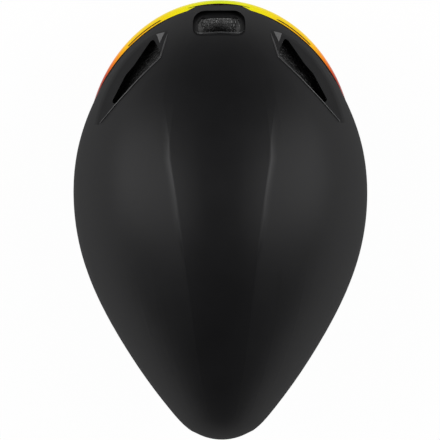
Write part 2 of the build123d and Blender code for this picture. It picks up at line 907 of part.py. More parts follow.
def make_belt():
    """The left belt: a strip that narrows to a toothed tongue over the pinion."""
    main = ring_band(
        belt_radius, belt_thickness, belt_start_angle, belt_end_angle, -belt_half_height, belt_half_height
    )
    tongue = ring_band(
        belt_radius, belt_thickness, tongue_end_angle, belt_start_angle, rack_root, belt_half_height
    )
    teeth = [rack_tooth(step + 1 / 2) for step in range(rack_first, rack_last)]
    return main + tongue + teeth


def turned_over(shape):
    """The same piece for the other side, turned half round about the dial's axis."""
    axis = Axis(ring_plane.origin, ring_plane.y_dir)
    return shape.rotate(axis, 180)


def make_adjuster_housing():
    """The curved housing that the belts run through."""
    inner = housing_inner_radius
    outer = cover_start - bond_gap / 2
    half = housing_half_height
    block = ring_band(
        (inner + outer) / 2, outer - inner, -housing_half_angle, housing_half_angle, -half, half
    )
    passage_half = belt_half_height + belt_slot_gap
    passage = ring_band(
        belt_radius, belt_thickness + 2 * belt_slot_gap, -2 * housing_half_angle, 2 * housing_half_angle,
        -passage_half, passage_half,
    )
    pocket = rear_disc(
        pinion_radius + tooth_addendum + running_gap, belt_radius - belt_thickness / 2 - belt_slot_gap, dial_start
    )
    bore = rear_disc(bearing_radius + bearing_gap, inner + bond_gap, belt_radius)
    return block - [passage, pocket, bore]


def make_adjuster_cover():
    """The cover plate over the housing, bored for the dial's hub."""
    half = housing_half_height
    plate = ring_band(
        cover_start + cover_thickness / 2, cover_thickness, -housing_half_angle, housing_half_angle, -half, half
    )
    return plate - rear_disc(dial_hub_radius + bearing_gap, 0, 2 * belt_radius)


def rear_face(x, w):
    """Where a sketch drawn at right angles to the dial's axis goes."""
    return ring_plane * Pos(x, 0, w) * Rot(-90, 0, 0)


def make_pinion():
    """The pinion with its bearing pin and its hub."""
    start = belt_radius - belt_thickness / 2 - belt_slot_gap / 2
    end = belt_radius + belt_thickness / 2 + belt_slot_gap / 2
    root = pinion_radius - tooth_addendum - tooth_clearance
    tip = pinion_radius + tooth_addendum
    root_half = tooth_half_width(-tooth_addendum - tooth_clearance)
    tip_half = tooth_half_width(tooth_addendum)
    tooth = make_face(
        Polyline((0, 0), (root_half, root), (tip_half, tip), (-tip_half, tip), (-root_half, root), close=True)
    )
    flat = Circle(root) + [Rot(0, 0, 360 / pinion_teeth * i) * tooth for i in range(pinion_teeth)]
    gear = rear_face(0, 0) * Pos(0, 0, belt_setback + start) * extrude(flat, end - start)
    pin = rear_disc(bearing_radius, housing_inner_radius + 2 * bond_gap, start)
    hub = rear_disc(dial_hub_radius, end, dial_start + dial_thickness / 2)
    return gear + pin + hub - rear_disc(dial_screw_radius / 2, end, dial_start + dial_thickness)


def make_dial_knob():
    """The ratchet dial, fluted round its edge and dished on its face."""
    knob = Cylinder(dial_radius, dial_thickness, align=(Align.CENTER, Align.CENTER, Align.MIN))
    knob = fillet(knob.edges().filter_by(GeomType.CIRCLE), dial_flute_radius)
    flutes = [
        Rot(0, 0, 360 / dial_flutes * i) * Pos(dial_radius + dial_flute_radius / 3, 0, 0)
        * Cylinder(dial_flute_radius, dial_thickness, align=(Align.CENTER, Align.CENTER, Align.MIN))
        for i in range(dial_flutes)
    ]
    dish = Pos(0, 0, dial_thickness - dial_cup_depth) * Cone(
        dial_cup_radius - dial_cup_depth, dial_cup_radius, dial_cup_depth,
        align=(Align.CENTER, Align.CENTER, Align.MIN),
    )
    bore = Cylinder(dial_hub_radius + bearing_gap, dial_thickness, align=(Align.CENTER, Align.CENTER, Align.MIN))
    counterbore = Pos(0, 0, dial_thickness / 2) * Cylinder(
        dial_screw_radius + bond_gap, dial_thickness, align=(Align.CENTER, Align.CENTER, Align.MIN)
    )
    knob = knob - [*flutes, dish, bore, counterbore]
    return rear_face(0, 0) * Pos(0, 0, belt_setback + dial_start) * knob


def make_dial_screw():
    """The slotted screw that holds the knob on the hub."""
    seat = dial_start + dial_thickness / 2
    head = rear_disc(dial_screw_radius, seat, seat + dial_screw_thickness)
    shank = rear_disc(dial_screw_radius / 2 - bearing_gap, seat - dial_thickness / 2, seat)
    slot = rear_face(0, 0) * Pos(0, 0, belt_setback + seat + dial_screw_thickness) * Box(
        2 * dial_screw_radius, dial_screw_slot, dial_screw_thickness
    )
    return head + shank - slot


def make_cradle():
    """The curved cradle under the back of the head, with a window in each lobe."""
    mid = (cradle_top + cradle_bottom) / 2
    high = cradle_top - cradle_bottom
    tube = ring_band(
        cradle_radius, cradle_thickness, -cradle_reach_angle, cradle_reach_angle, cradle_bottom, cradle_top
    )
    outline = RectangleRounded(2 * cradle_half_width, high, cradle_corner_radius)
    window = RectangleRounded(2 * cradle_window_half_width, cradle_window_height, cradle_corner_radius / 2)
    block = extrude(rear_face(0, mid) * outline, 2 * belt_radius + belt_setback)
    hole = extrude(rear_face(0, mid - cradle_window_drop) * window, 2 * belt_radius + belt_setback)
    return (tube & block) - hole


def make_cradle_pads():
    """Two small pads on the lobes of the cradle."""
    radius = cradle_radius - cradle_thickness / 2 - bond_gap - cradle_pad_thickness / 2
    mid = (cradle_top + cradle_bottom) / 2
    tube = ring_band(
        radius, cradle_pad_thickness, -cradle_reach_angle, cradle_reach_angle, cradle_bottom, cradle_top
    )
    middle = (cradle_half_width + cradle_window_half_width) / 2
    outline = RectangleRounded(cradle_pad_width, cradle_pad_height, cradle_corner_radius / 2)
    blocks = [
        extrude(rear_face(side * middle, mid - cradle_window_drop) * outline, 2 * belt_radius + belt_setback)
        for side in (1, -1)
    ]
    return [tube & block for block in blocks]


# Harness

def wall_plane(kind):
    """The plane on the cavity wall at a left anchor, with its X up and its Z into the foam."""
    angles = {"front": front_anchor_angle, "rear": rear_anchor_angle}
    heights = {"front": front_anchor_height, "rear": rear_anchor_height}
    angle = math.radians(angles[kind])
    wide = cavity_half_width
    long = cavity_half_length
    point = Vector(wide * math.cos(angle), cavity_centre_y + long * math.sin(angle), heights[kind])
    normal = Vector(math.cos(angle) / wide, math.sin(angle) / long, 0)
    return Plane(origin=point, x_dir=(0, 0, 1), z_dir=normal)


def anchor_block(kind, growth=0.0):
    """The left anchor of one strap, sunk into the foam."""
    block = Box(anchor_height + 2 * growth, anchor_width + 2 * growth, anchor_depth + 2 * growth)
    return wall_plane(kind) * Pos(0, 0, anchor_sink - anchor_depth / 2) * block


def side_web(kind, growth=0.0):
    """A strap from the left anchor down to the divider, turning from the wall to face the ear."""
    wall = wall_plane(kind)
    start = wall.from_local_coords(
        Vector(strap_end_overlap - anchor_height / 2, 0, anchor_sink - anchor_depth / 2)
    )
    sign = {"front": 1, "rear": -1}[kind]
    end = Vector(
        divider_half_spacing + sign * web_lane,
        -sign * divider_width / 8,
        divider_height + divider_length / 2 - strap_end_overlap,
    )
    run = (end - start).normalized()
    section = Rectangle(web_width + 2 * growth, web_thickness + 2 * growth)
    ends = [
        Plane(origin=start - run * growth, x_dir=wall.z_dir.cross(run), z_dir=run) * section,
        Plane(origin=end + run * growth, x_dir=Vector(1, 0, 0).cross(run), z_dir=run) * section,
    ]
    return Solid.make_loft([face.face().outer_wire() for face in ends], True)


# The route of a chin strap in front view: half widths and heights from the divider to the buckle
chin_route = [
    (divider_half_spacing, divider_height - divider_length / 2 + strap_end_overlap),
    (divider_half_spacing, table_gap + web_thickness / 2),
    (buckle_half_length + chin_slope_length, table_gap + web_thickness / 2),
    (buckle_half_length + strap_end_overlap, buckle_floor + buckle_thickness / 2),
    (buckle_half_length - strap_end_overlap, buckle_floor + buckle_thickness / 2),
]


def chin_face_line(shift):
    """One face of the chin strap: its route moved sideways, with the bends kept parallel."""
    points = [Vector(*point) for point in chin_route]
    headings = [(b - a).normalized() for a, b in zip(points, points[1:])]
    normals = [Vector(-heading.Y, heading.X) for heading in headings]
    moved = [points[0] + normals[0] * shift]
    radii = []
    for point, before, after in zip(points[1:-1], normals, normals[1:]):
        moved.append(point + (before + after) * (shift / (1 + before.dot(after))))
        turn = before.X * after.Y - before.Y * after.X
        radii.append(chin_bend_radius - math.copysign(shift, turn))
    moved.append(points[-1] + normals[-1] * shift)
    return FilletPolyline(*moved, radius=radii)


def chin_web(growth=0.0):
    """The left chin strap, lying on the table between the divider and the buckle."""
    top = chin_face_line(web_thickness / 2 + growth)
    bottom = chin_face_line(-web_thickness / 2 - growth)
    flat = make_face([*top.edges(), Line(top @ 1, bottom @ 1), *bottom.edges(), Line(bottom @ 0, top @ 0)])
    return extrude(Plane.XZ * flat, web_width / 2 + growth, both=True)


def make_divider(webs):
    """The left divider block that clamps the three straps."""
    block = Box(divider_width, divider_length, divider_thickness)
    block = fillet(block.edges().filter_by(Axis.Z), divider_corner_radius)
    block = chamfer(block.faces().filter_by(Axis.Z).edges(), bond_gap * 2)
    centre = Plane(origin=(divider_half_spacing, 0, divider_height), x_dir=(0, 1, 0), z_dir=(1, 0, 0))
    return centre * block - webs


# Buckle

buckle_mid = buckle_floor + buckle_thickness / 2


def buckle_box(start, end, half, thickness, rear_reach=0.0, growth=0.0):
    """A block of the buckle between two places across it, reaching further forward for a channel."""
    length = end - start + 2 * growth
    width = 2 * (half + growth) + rear_reach
    return Pos((start + end) / 2, -rear_reach / 2, buckle_mid) * Box(length, width, thickness + 2 * growth)


def make_buckle_socket(web):
    """The socket of the buckle, with the T-slot that its tongue slides in."""
    body_block = buckle_box(-socket_end, buckle_half_length, buckle_half_width, buckle_thickness)
    body_block = fillet(body_block.edges(), buckle_corner_radius)
    half = head_length / 2
    far = 2 * buckle_half_width
    head = buckle_box(-half, half, head_half_width, head_thickness, far, running_gap)
    neck = buckle_box(-2 * buckle_half_length, 0, head_half_width, neck_thickness, far, running_gap)
    return body_block - [head, neck, web, buckle_magnet(1, bond_gap / 4)]


def buckle_magnet(side, growth=0.0):
    """A magnet in the closed end of the socket (side 1) or in the head of the tongue (side -1)."""
    radius = head_thickness / 2 - bond_gap
    start = head_half_width + running_gap if side == 1 else head_half_width - magnet_thickness
    disc = Cylinder(
        radius + growth, magnet_thickness + growth, align=(Align.CENTER, Align.CENTER, Align.MIN)
    )
    return Pos(0, start - (0 if side == 1 else growth), buckle_mid) * Rot(-90, 0, 0) * disc


def pull_tab_block(growth=0.0):
    """The soft pull tab on the front of the tongue."""
    start = -buckle_half_length + buckle_corner_radius
    end = -socket_end - running_gap - buckle_corner_radius
    front = -buckle_half_width - tab_pull_length
    rear = -buckle_half_width + strap_end_overlap / 2
    return Pos((start + end) / 2, (front + rear) / 2, buckle_mid) * Box(
        end - start + 2 * growth, rear - front + 2 * growth, tab_pull_thickness + 2 * growth
    )


def make_buckle_tongue(web):
    """The tongue of the buckle: a plate for the strap and a T-shaped head."""
    half = head_length / 2
    plate = buckle_box(
        -buckle_half_length, -socket_end - running_gap, buckle_half_width, buckle_thickness
    )
    plate = fillet(plate.edges(), buckle_corner_radius)
    head = buckle_box(-half, half, head_half_width, head_thickness)
    neck = buckle_box(-socket_end - running_gap - bond_gap, -half, head_half_width, neck_thickness)
    return plate + head + neck - [web, pull_tab_block(bond_gap), buckle_magnet(-1, bond_gap / 4)]


def make_pull_tab():
    tab = pull_tab_block()
    corners = tab.edges().filter_by(Axis.Z).sort_by(Axis.Y)[:2]
    return fillet(corners, 3 * tab_pull_thickness / 2)


# All pieces, each written to its own file

def save(name, shape):
    """Write one node. A list of separate solids goes into one file."""
    solids = shape if isinstance(shape, list) else [shape]
    solids = [solid for item in solids for solid in item.solids()]
    export_step(solids[0] if len(solids) == 1 else Compound(children=solids), f"parts/{name}.step")


def save_pair(name, left, right=None):
    save(f"{name}_left", left)
    save(f"{name}_right", mirror(left, Plane.YZ) if right is None else right)


os.makedirs("parts", exist_ok=True)

outer_form = with_soft_scoops(carved_body())
shell_back = carved_body(shell_wall)
foam_form = carved_body(shell_wall + bond_gap)
save("outer_shell", make_outer_shell(outer_form, shell_back))
save("lower_shell", make_lower_shell(outer_form))
save("foam_liner", make_foam_liner(foam_form))
save("exhaust_surround", make_exhaust_surround())
save("shell_magnets", make_shell_magnets())

save("visor_lens", make_visor_lens())
save("visor_magnet_cups", make_magnet_cups())
save("visor_magnets", make_visor_magnets())

save("brow_pad", make_brow_pad(pad_skin()))
save("crown_pads", make_crown_pads(pad_skin(crown_lift_share)))
save_pair("side_pad", make_side_pad(pad_skin(side_lift_share)))

save("temple_pins", make_temple_pins())
save_pair("headband", make_headband())
save("adjuster_housing", make_adjuster_housing())
save("adjuster_cover", make_adjuster_cover())
save("occipital_cradle", make_cradle())
save("cradle_pads", make_cradle_pads())
belt = make_belt()
save_pair("fit_belt", belt, turned_over(belt))
save("dial_knob", make_dial_knob())
save("dial_pinion", make_pinion())
save("dial_screw", make_dial_screw())

front_web = side_web("front")
rear_web = side_web("rear")
chin = chin_web()
pockets = [side_web("front", bond_gap), side_web("rear", bond_gap), chin_web(bond_gap)]
anchors = [anchor_block("front") - pockets[0], anchor_block("rear") - pockets[1]]
save("strap_anchors", both_sides(anchors))
save_pair("front_strap", front_web)
save_pair("rear_strap", rear_web)
save_pair("strap_divider", make_divider(pockets))
save_pair("chin_strap", chin)
save("buckle_socket", make_buckle_socket(pockets[2]))
save("socket_magnet", buckle_magnet(1))
save("buckle_tongue", make_buckle_tongue(mirror(pockets[2], Plane.YZ)))
save("tongue_magnet", buckle_magnet(-1))
save("pull_tab", make_pull_tab())
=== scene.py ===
import math

import bmesh
import bpy
from mathutils import Matrix, Vector


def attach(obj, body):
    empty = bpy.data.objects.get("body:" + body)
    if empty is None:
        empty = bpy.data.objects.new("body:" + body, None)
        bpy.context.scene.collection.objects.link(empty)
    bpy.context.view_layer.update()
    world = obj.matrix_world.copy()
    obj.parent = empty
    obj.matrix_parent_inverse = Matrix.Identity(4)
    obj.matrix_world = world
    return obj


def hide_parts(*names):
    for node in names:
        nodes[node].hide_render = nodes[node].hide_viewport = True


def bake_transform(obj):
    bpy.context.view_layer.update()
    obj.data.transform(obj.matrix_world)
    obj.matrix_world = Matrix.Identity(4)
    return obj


# An aero time trial helmet with a wrap-round mirrored visor. Lengths are metres, in the frame's own axes:
# the rider faces -Y, +X is the rider's left and +Z is up.

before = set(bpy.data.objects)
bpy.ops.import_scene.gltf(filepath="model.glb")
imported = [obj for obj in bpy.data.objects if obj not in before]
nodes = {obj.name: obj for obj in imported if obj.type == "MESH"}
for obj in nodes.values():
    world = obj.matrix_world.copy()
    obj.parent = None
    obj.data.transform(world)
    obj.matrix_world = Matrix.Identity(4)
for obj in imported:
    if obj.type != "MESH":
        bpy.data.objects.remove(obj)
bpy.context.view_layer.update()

mm = 0.001


def lengths(*values):
    """Lengths given in millimetres, in metres."""
    return tuple(value * mm for value in values)


# Camera: straight down, with the visor at the top of the picture. Its sensor is measured in millimetres.
view_width = 325.4 * mm
camera_distance = 3.0
camera_target = Vector(lengths(0.45, 0.97, 90))
camera_roll = math.radians(-0.44)
sensor_width = 36.0

# Light and floor. The power is in watts.
softbox_place = (1.6, -0.33, 1.3)
softbox_size = (1.2, 2.6)
softbox_power = 42
light_target = Vector(lengths(0, 0, 90))
floor_half_width = 3.0
floor_drop = 0.2 * mm
floor_white_share = 0.97

# Values shared with the part
bond_gap = 0.3 * mm
web_width = 15 * mm
web_thickness = 1.2 * mm
pad_thickness = 5 * mm
cavity_centre = Vector(lengths(0, -27, 95))
cavity_axes = Vector(lengths(82, 103, 68))
ring_tilt = math.radians(25)
ring_origin = Vector(lengths(0, -45, 88))
ring_rear = Vector((0, math.cos(ring_tilt), -math.sin(ring_tilt)))
ring_up = Vector((0, math.sin(ring_tilt), math.cos(ring_tilt)))
belt_setback = 51 * mm
cradle_inner_radius = 55.3 * mm
front_anchor_angle = math.radians(-15.5)
front_anchor_height = 60 * mm
rear_anchor_angle = math.radians(52.5)
rear_anchor_height = 76 * mm
divider_half_spacing = 70 * mm
divider_width = 27 * mm
web_end_height = 25 * mm
web_lane = 0.95 * mm
chin_route = [lengths(*place) for place in ((70, 11), (70, 1.2), (38, 1.2), (25, 6.4), (15, 6.4))]
chin_bend_radius = 4.5 * mm
overall_length = 325 * mm
half_width = 109 * mm
visor_half_width = 99.1 * mm
visor_reach = 111.7 * mm
visor_centre_y = visor_reach - overall_length / 2
visor_bulge_height = 72 * mm
visor_upper_radius = 95 * mm
lens_slot_height = 1.4 * mm
lens_slot_line = [lengths(*place) for place in ((-146.0, 100.07), (-128.4, 97.66))]
lens_edge_line = [
    lengths(*place)
    for place in ((-157.0, 108.0), (-132.0, 104.5), (-111.2, 97.0), (-89.0, 88.0), (-76.0, 82.0))
]
tab_low_half_width = 15 * mm
tab_edge_height = 99.2 * mm
front_opening_half_width = 15.25 * mm
front_opening_front = -148.7 * mm
front_opening_rear = -134.6 * mm
shell_floor_drop = 2.0 * mm
# The lip of a side scoop in plan, from its tip, as shares of the half width and the length
scoop_lip_shares = ((0.346, 0.0852), (0.3935, 0.139), (0.542, 0.188), (0.6745, 0.2354), (0.810, 0.2868))

# The ridges in plan: a place along the helmet, its distance from the middle and how sharp the ridge is there
ridge_points = (
    (-92 * mm, 41.0 * mm, 0.0), (-73 * mm, 38.5 * mm, 0.25), (-58 * mm, 36.6 * mm, 0.5),
    (-43 * mm, 36.6 * mm, 0.9), (-28 * mm, 34.2 * mm, 1.0), (-14 * mm, 32.2 * mm, 0.75),
    (1 * mm, 30.8 * mm, 0.7), (16 * mm, 28.7 * mm, 0.65), (30 * mm, 25.8 * mm, 0.4),
    (45 * mm, 24.5 * mm, 0.2), (72 * mm, 22.5 * mm, 0.0),
)
ridge_shoulder = 4.6 * mm
ridge_relief = 0.6 * mm
crest_blur = 1 * mm
crest_polish = 0.26


# Material nodes

def new_material(name):
    """A material with its node tree, its shader, and the place of each point in the frame."""
    material = bpy.data.materials.new(name)
    material.use_nodes = True
    tree = material.node_tree
    shader = tree.nodes["Principled BSDF"]
    place = tree.nodes.new("ShaderNodeTexCoord").outputs["Object"]
    return material, tree, shader, place


def feed(tree, socket, value):
    """Link an input to an output, or set its value."""
    if isinstance(value, bpy.types.NodeSocket):
        tree.links.new(value, socket)
    else:
        socket.default_value = value


def add(tree, kind, **inputs):
    """A node with some of its inputs fed. Underscores stand for spaces in their names."""
    node = tree.nodes.new(kind)
    for name, value in inputs.items():
        feed(tree, node.inputs[name.replace("_", " ")], value)
    return node


def maths(tree, operation, *values):
    """The result of one operation on some values."""
    node = tree.nodes.new("ShaderNodeMath")
    node.operation = operation
    for socket, value in zip(node.inputs, values):
        feed(tree, socket, value)
    return node.outputs[0]


def rescaled(tree, value, first, last, start=0.0, end=1.0):
    """A value that runs from start to end while the given one runs from first to last."""
    node = add(
        tree, "ShaderNodeMapRange", Value=value, From_Min=first, From_Max=last, To_Min=start, To_Max=end
    )
    return node.outputs["Result"]


def split(tree, vector):
    """The X, Y and Z of a vector."""
    return add(tree, "ShaderNodeSeparateXYZ", Vector=vector).outputs


def noise(tree, place, size, detail=2.0):
    """Noise whose features have a given size."""
    return add(tree, "ShaderNodeTexNoise", Vector=place, Scale=1 / size, Detail=detail).outputs["Fac"]


def ramp(tree, value, stops):
    """A colour ramp from (position, colour) pairs. A colour is three numbers or one grey."""
    node = add(tree, "ShaderNodeValToRGB", Fac=value)
    elements = node.color_ramp.elements
    while len(elements) < len(stops):
        elements.new(0.5)
    for element, (position, colour) in zip(elements, stops):
        element.position = position
        element.color = (*colour, 1) if len(colour) == 3 else (colour[0],) * 3 + (1,)
    return node.outputs["Color"]


def mixed(tree, factor, one, two, blend_type="MIX"):
    """Two colours mixed by a factor, or multiplied."""
    node = tree.nodes.new("ShaderNodeMix")
    node.data_type = "RGBA"
    node.blend_type = blend_type
    for socket, value in zip((node.inputs["Factor"], node.inputs[6], node.inputs[7]), (factor, one, two)):
        feed(tree, socket, value)
    return node.outputs[2]


def bump(tree, shader, height, depth, strength=1.0, below=None):
    """A bump of a real depth on the shader, over an earlier one if given."""
    node = add(tree, "ShaderNodeBump", Height=height, Distance=depth, Strength=strength)
    if below is not None:
        tree.links.new(below, node.inputs["Normal"])
    tree.links.new(node.outputs["Normal"], shader.inputs["Normal"])
    return node.outputs["Normal"]


def line_height(tree, y, line):
    """The height of a line of (y, height) places, as a value in a material."""
    first, last = line[0][0], line[-1][0]
    highest = max(height for _, height in line)
    stops = [((place - first) / (last - first), (height / highest,)) for place, height in line]
    return maths(tree, "MULTIPLY", ramp(tree, rescaled(tree, y, first, last), stops), highest)


def near_zero(tree, value, reach, blur=0.15 * mm):
    """1 where a value lies within reach of zero, and 0 beyond."""
    return rescaled(tree, maths(tree, "ABSOLUTE", value), reach - blur, reach + blur, 1.0, 0.0)


# Plastic and paint

def ridge_shoulders(tree, place):
    """The shoulder outside each ridge, from 1 at its crest down to 0, and how glossy it is worn there."""
    first, last = ridge_points[0][0], ridge_points[-1][0]
    widest = max(x for _, x, _ in ridge_points)
    parts = split(tree, place)
    along = rescaled(tree, parts["Y"], first, last)
    shares = [(y - first) / (last - first) for y, _, _ in ridge_points]
    crest = ramp(tree, along, [(share, (x / widest,)) for share, (_, x, _) in zip(shares, ridge_points)])
    rise = ramp(tree, along, [(share, (sharp,)) for share, (_, _, sharp) in zip(shares, ridge_points)])
    side = maths(tree, "ABSOLUTE", parts["X"])
    outside = maths(tree, "SUBTRACT", side, maths(tree, "MULTIPLY", crest, widest))
    near = rescaled(tree, outside, 0.0, ridge_shoulder, 1.0, 0.0)
    shoulder = maths(tree, "MULTIPLY", maths(tree, "POWER", near, 2.0), rise)
    beyond = rescaled(tree, outside, -crest_blur, 0.0)
    return shoulder, maths(tree, "MULTIPLY", shoulder, beyond)


def moulded(name, colour, roughness, grain=0.35 * mm, depth=0.02 * mm, specular=0.5, ridges=False):
    """Moulded plastic or paint: a fine grain and slightly uneven gloss, duller at a glancing view."""
    cloud_size = 30 * mm
    tone_spread = 0.12
    gloss_spread = 0.03
    glance_start = 0.3
    glance_dullness = 0.45
    material, tree, shader, place = new_material(name)
    shader.inputs["Specular IOR Level"].default_value = specular
    cloud = noise(tree, place, cloud_size, 3.0)
    darker, lighter = [[c * (1 + change) for c in colour] for change in (-tone_spread, tone_spread)]
    tree.links.new(ramp(tree, cloud, [(0.3, darker), (0.7, lighter)]), shader.inputs["Base Color"])
    uneven = rescaled(tree, cloud, 0.0, 1.0, roughness - gloss_spread, roughness + gloss_spread)
    glance = tree.nodes.new("ShaderNodeLayerWeight").outputs["Facing"]
    dullness = maths(tree, "ADD", uneven, rescaled(tree, glance, glance_start, 1.0, 0.0, glance_dullness))
    below = None
    if ridges:
        shoulder, worn = ridge_shoulders(tree, place)
        dullness = maths(tree, "SUBTRACT", dullness, maths(tree, "MULTIPLY", worn, crest_polish))
        below = bump(tree, shader, shoulder, ridge_relief)
    tree.links.new(dullness, shader.inputs["Roughness"])
    bump(tree, shader, noise(tree, place, grain, 1.0), depth, below=below)
    return material


# Foam

def vent_rim_share(tree, place):
    """The distance from the rear of the front vent, as a share of the distance to its arched rim."""
    parts = split(tree, place)
    across = maths(tree, "DIVIDE", parts["X"], front_opening_half_width)
    behind = maths(tree, "SUBTRACT", parts["Y"], front_opening_rear)
    along = maths(tree, "DIVIDE", behind, front_opening_rear - front_opening_front)
    squares = [maths(tree, "MULTIPLY", value, value) for value in (across, along)]
    return maths(tree, "SQRT", maths(tree, "ADD", *squares))


def beaded_foam():
    """Expanded polystyrene: fused beads with dark seams and a painted highlight round each bead, with painted
    shade in hollows and painted shade that deepens towards the rear of the front vent.
    """
    bead = 2.6 * mm
    bead_randomness = 0.9
    bead_tone_share = 0.6
    dome_height = 0.5 * mm
    grain_size = 0.3 * mm
    grain_height = 0.04 * mm
    hollow_reach = 30 * mm
    painted_vent_shade_darkest = 0.1
    gloss = 0.6
    material, tree, shader, place = new_material("beaded_foam")
    cells = add(tree, "ShaderNodeTexVoronoi", Vector=place, Scale=1 / bead, Randomness=bead_randomness)
    seams = add(tree, "ShaderNodeTexVoronoi", Vector=place, Scale=1 / bead, Randomness=bead_randomness)
    seams.feature = "DISTANCE_TO_EDGE"
    # Real dark seams, with a painted highlight: a bright ring just inside each seam, on the bead rims
    seams_and_rim_glint = ramp(tree, seams.outputs["Distance"], [
        (0.0, (0.004,)), (0.06, (0.02,)), (0.10, (0.20,)), (0.16, (0.035,)), (0.5, (0.05,)),
    ])
    own_tone = add(tree, "ShaderNodeSeparateColor", Color=cells.outputs["Color"]).outputs["Red"]
    tone = mixed(
        tree, bead_tone_share, seams_and_rim_glint, ramp(tree, own_tone, [(0.0, (0.55,)), (1.0, (1.0,))]), "MULTIPLY"
    )
    # Painted shade: ambient occlusion darkens the foam's colour in hollows
    openness = add(tree, "ShaderNodeAmbientOcclusion", Distance=hollow_reach).outputs["AO"]
    painted_hollow_shade = ramp(tree, openness, [(0.0, (0.3,)), (0.3, (0.6,)), (0.55, (1.0,))])
    # Painted shade: the foam darkens and loses its gloss towards the rear of the front vent, where little
    # light falls
    painted_vent_shade = ramp(tree, vent_rim_share(tree, place), [(0.35, (painted_vent_shade_darkest,)), (0.85, (1.0,))])
    tone = mixed(tree, 1.0, tone, maths(tree, "MULTIPLY", painted_hollow_shade, painted_vent_shade), "MULTIPLY")
    tree.links.new(tone, shader.inputs["Base Color"])
    shader.inputs["Roughness"].default_value = 0.42
    tree.links.new(maths(tree, "MULTIPLY", painted_vent_shade, gloss), shader.inputs["Specular IOR Level"])
    domes = ramp(tree, seams.outputs["Distance"], [(0.0, (0.0,)), (0.12, (0.6,)), (0.45, (1.0,))])
    first = bump(tree, shader, domes, dome_height)
    bump(tree, shader, noise(tree, place, grain_size), grain_height, below=first)
    return material


# Lens

def coating_colour(tree, across, height):
    """The mirror's colour: yellow-green over yellow and orange to red towards the sides and the foot."""
    foot_red = (0.62, 0.05, 0.01, 1)
    top_orange = (0.95, 0.45, 0.03, 1)
    round_colour = ramp(tree, across, [
        (0.0, (0.60, 0.78, 0.003)), (0.28, (0.90, 0.85, 0.004)), (0.66, (0.98, 0.68, 0.008)),
        (0.77, (0.95, 0.36, 0.010)), (0.84, (0.66, 0.08, 0.010)), (0.95, (0.26, 0.02, 0.010)),
    ])
    foot_share = ramp(tree, height, [(0.0, (1.0,)), (0.5, (0.55,)), (0.62, (0.0,)), (1.0, (0.0,))])
    top_share = ramp(tree, height, [(0.84, (0.0,)), (0.93, (1.0,))])
    side_share = ramp(tree, across, [(0.35, (0.0,)), (0.6, (1.0,))])
    colour = mixed(tree, foot_share, round_colour, foot_red)
    return mixed(tree, maths(tree, "MULTIPLY", top_share, side_share), colour, top_orange)


def painted_gap_shade_share(tree, side, parts, upward):
    """1 where painted shade stands in for the gaps: on cut edges, along the top edge, round the slots, by the
    brow tab.
    """
    edge_border = 1.7 * mm
    slot_border = 1.5 * mm
    slot_end_border = 0.6 * mm
    tab_line_length = 7.6 * mm
    tab_line_half_height = 0.9 * mm
    # The cut edges and the walls of the slots look up, and are painted dark as shade
    cut = ramp(tree, upward, [(0.0, (0.0,)), (0.62, (0.0,)), (0.72, (1.0,)), (1.0, (1.0,))])
    to_edge = maths(tree, "SUBTRACT", line_height(tree, parts["Y"], lens_edge_line), parts["Z"])
    to_slot = maths(tree, "SUBTRACT", line_height(tree, parts["Y"], lens_slot_line), parts["Z"])
    (slot_front, _), (slot_rear, _) = lens_slot_line
    slot_half_length = (slot_rear - slot_front) / 2
    from_middle = maths(tree, "SUBTRACT", parts["Y"], (slot_front + slot_rear) / 2)
    slot = maths(
        tree, "MULTIPLY", near_zero(tree, to_slot, slot_border),
        near_zero(tree, from_middle, slot_half_length + slot_end_border),
    )
    # Painted shade: the gap below the brow tab runs on as a short dark line at each side
    beside_tab = maths(tree, "SUBTRACT", side, tab_low_half_width + tab_line_length / 2)
    above_tab_edge = maths(tree, "SUBTRACT", parts["Z"], tab_edge_height)
    tab_line = maths(
        tree, "MULTIPLY", near_zero(tree, beside_tab, tab_line_length / 2),
        near_zero(tree, above_tab_edge, tab_line_half_height),
    )
    share = maths(tree, "MAXIMUM", cut, near_zero(tree, to_edge, edge_border))
    share = maths(tree, "MAXIMUM", share, slot)
    return maths(tree, "MAXIMUM", share, tab_line)


def inner_face_share(tree, parts, normal):
    """1 on the lens's inner face, whose normal looks towards the head."""
    from_centre = maths(tree, "SUBTRACT", parts["Y"], visor_centre_y)
    outwards = maths(
        tree, "ADD", maths(tree, "MULTIPLY", normal["X"], parts["X"]),
        maths(tree, "MULTIPLY", normal["Y"], from_centre),
    )
    return maths(tree, "LESS_THAN", outwards, 0.0)


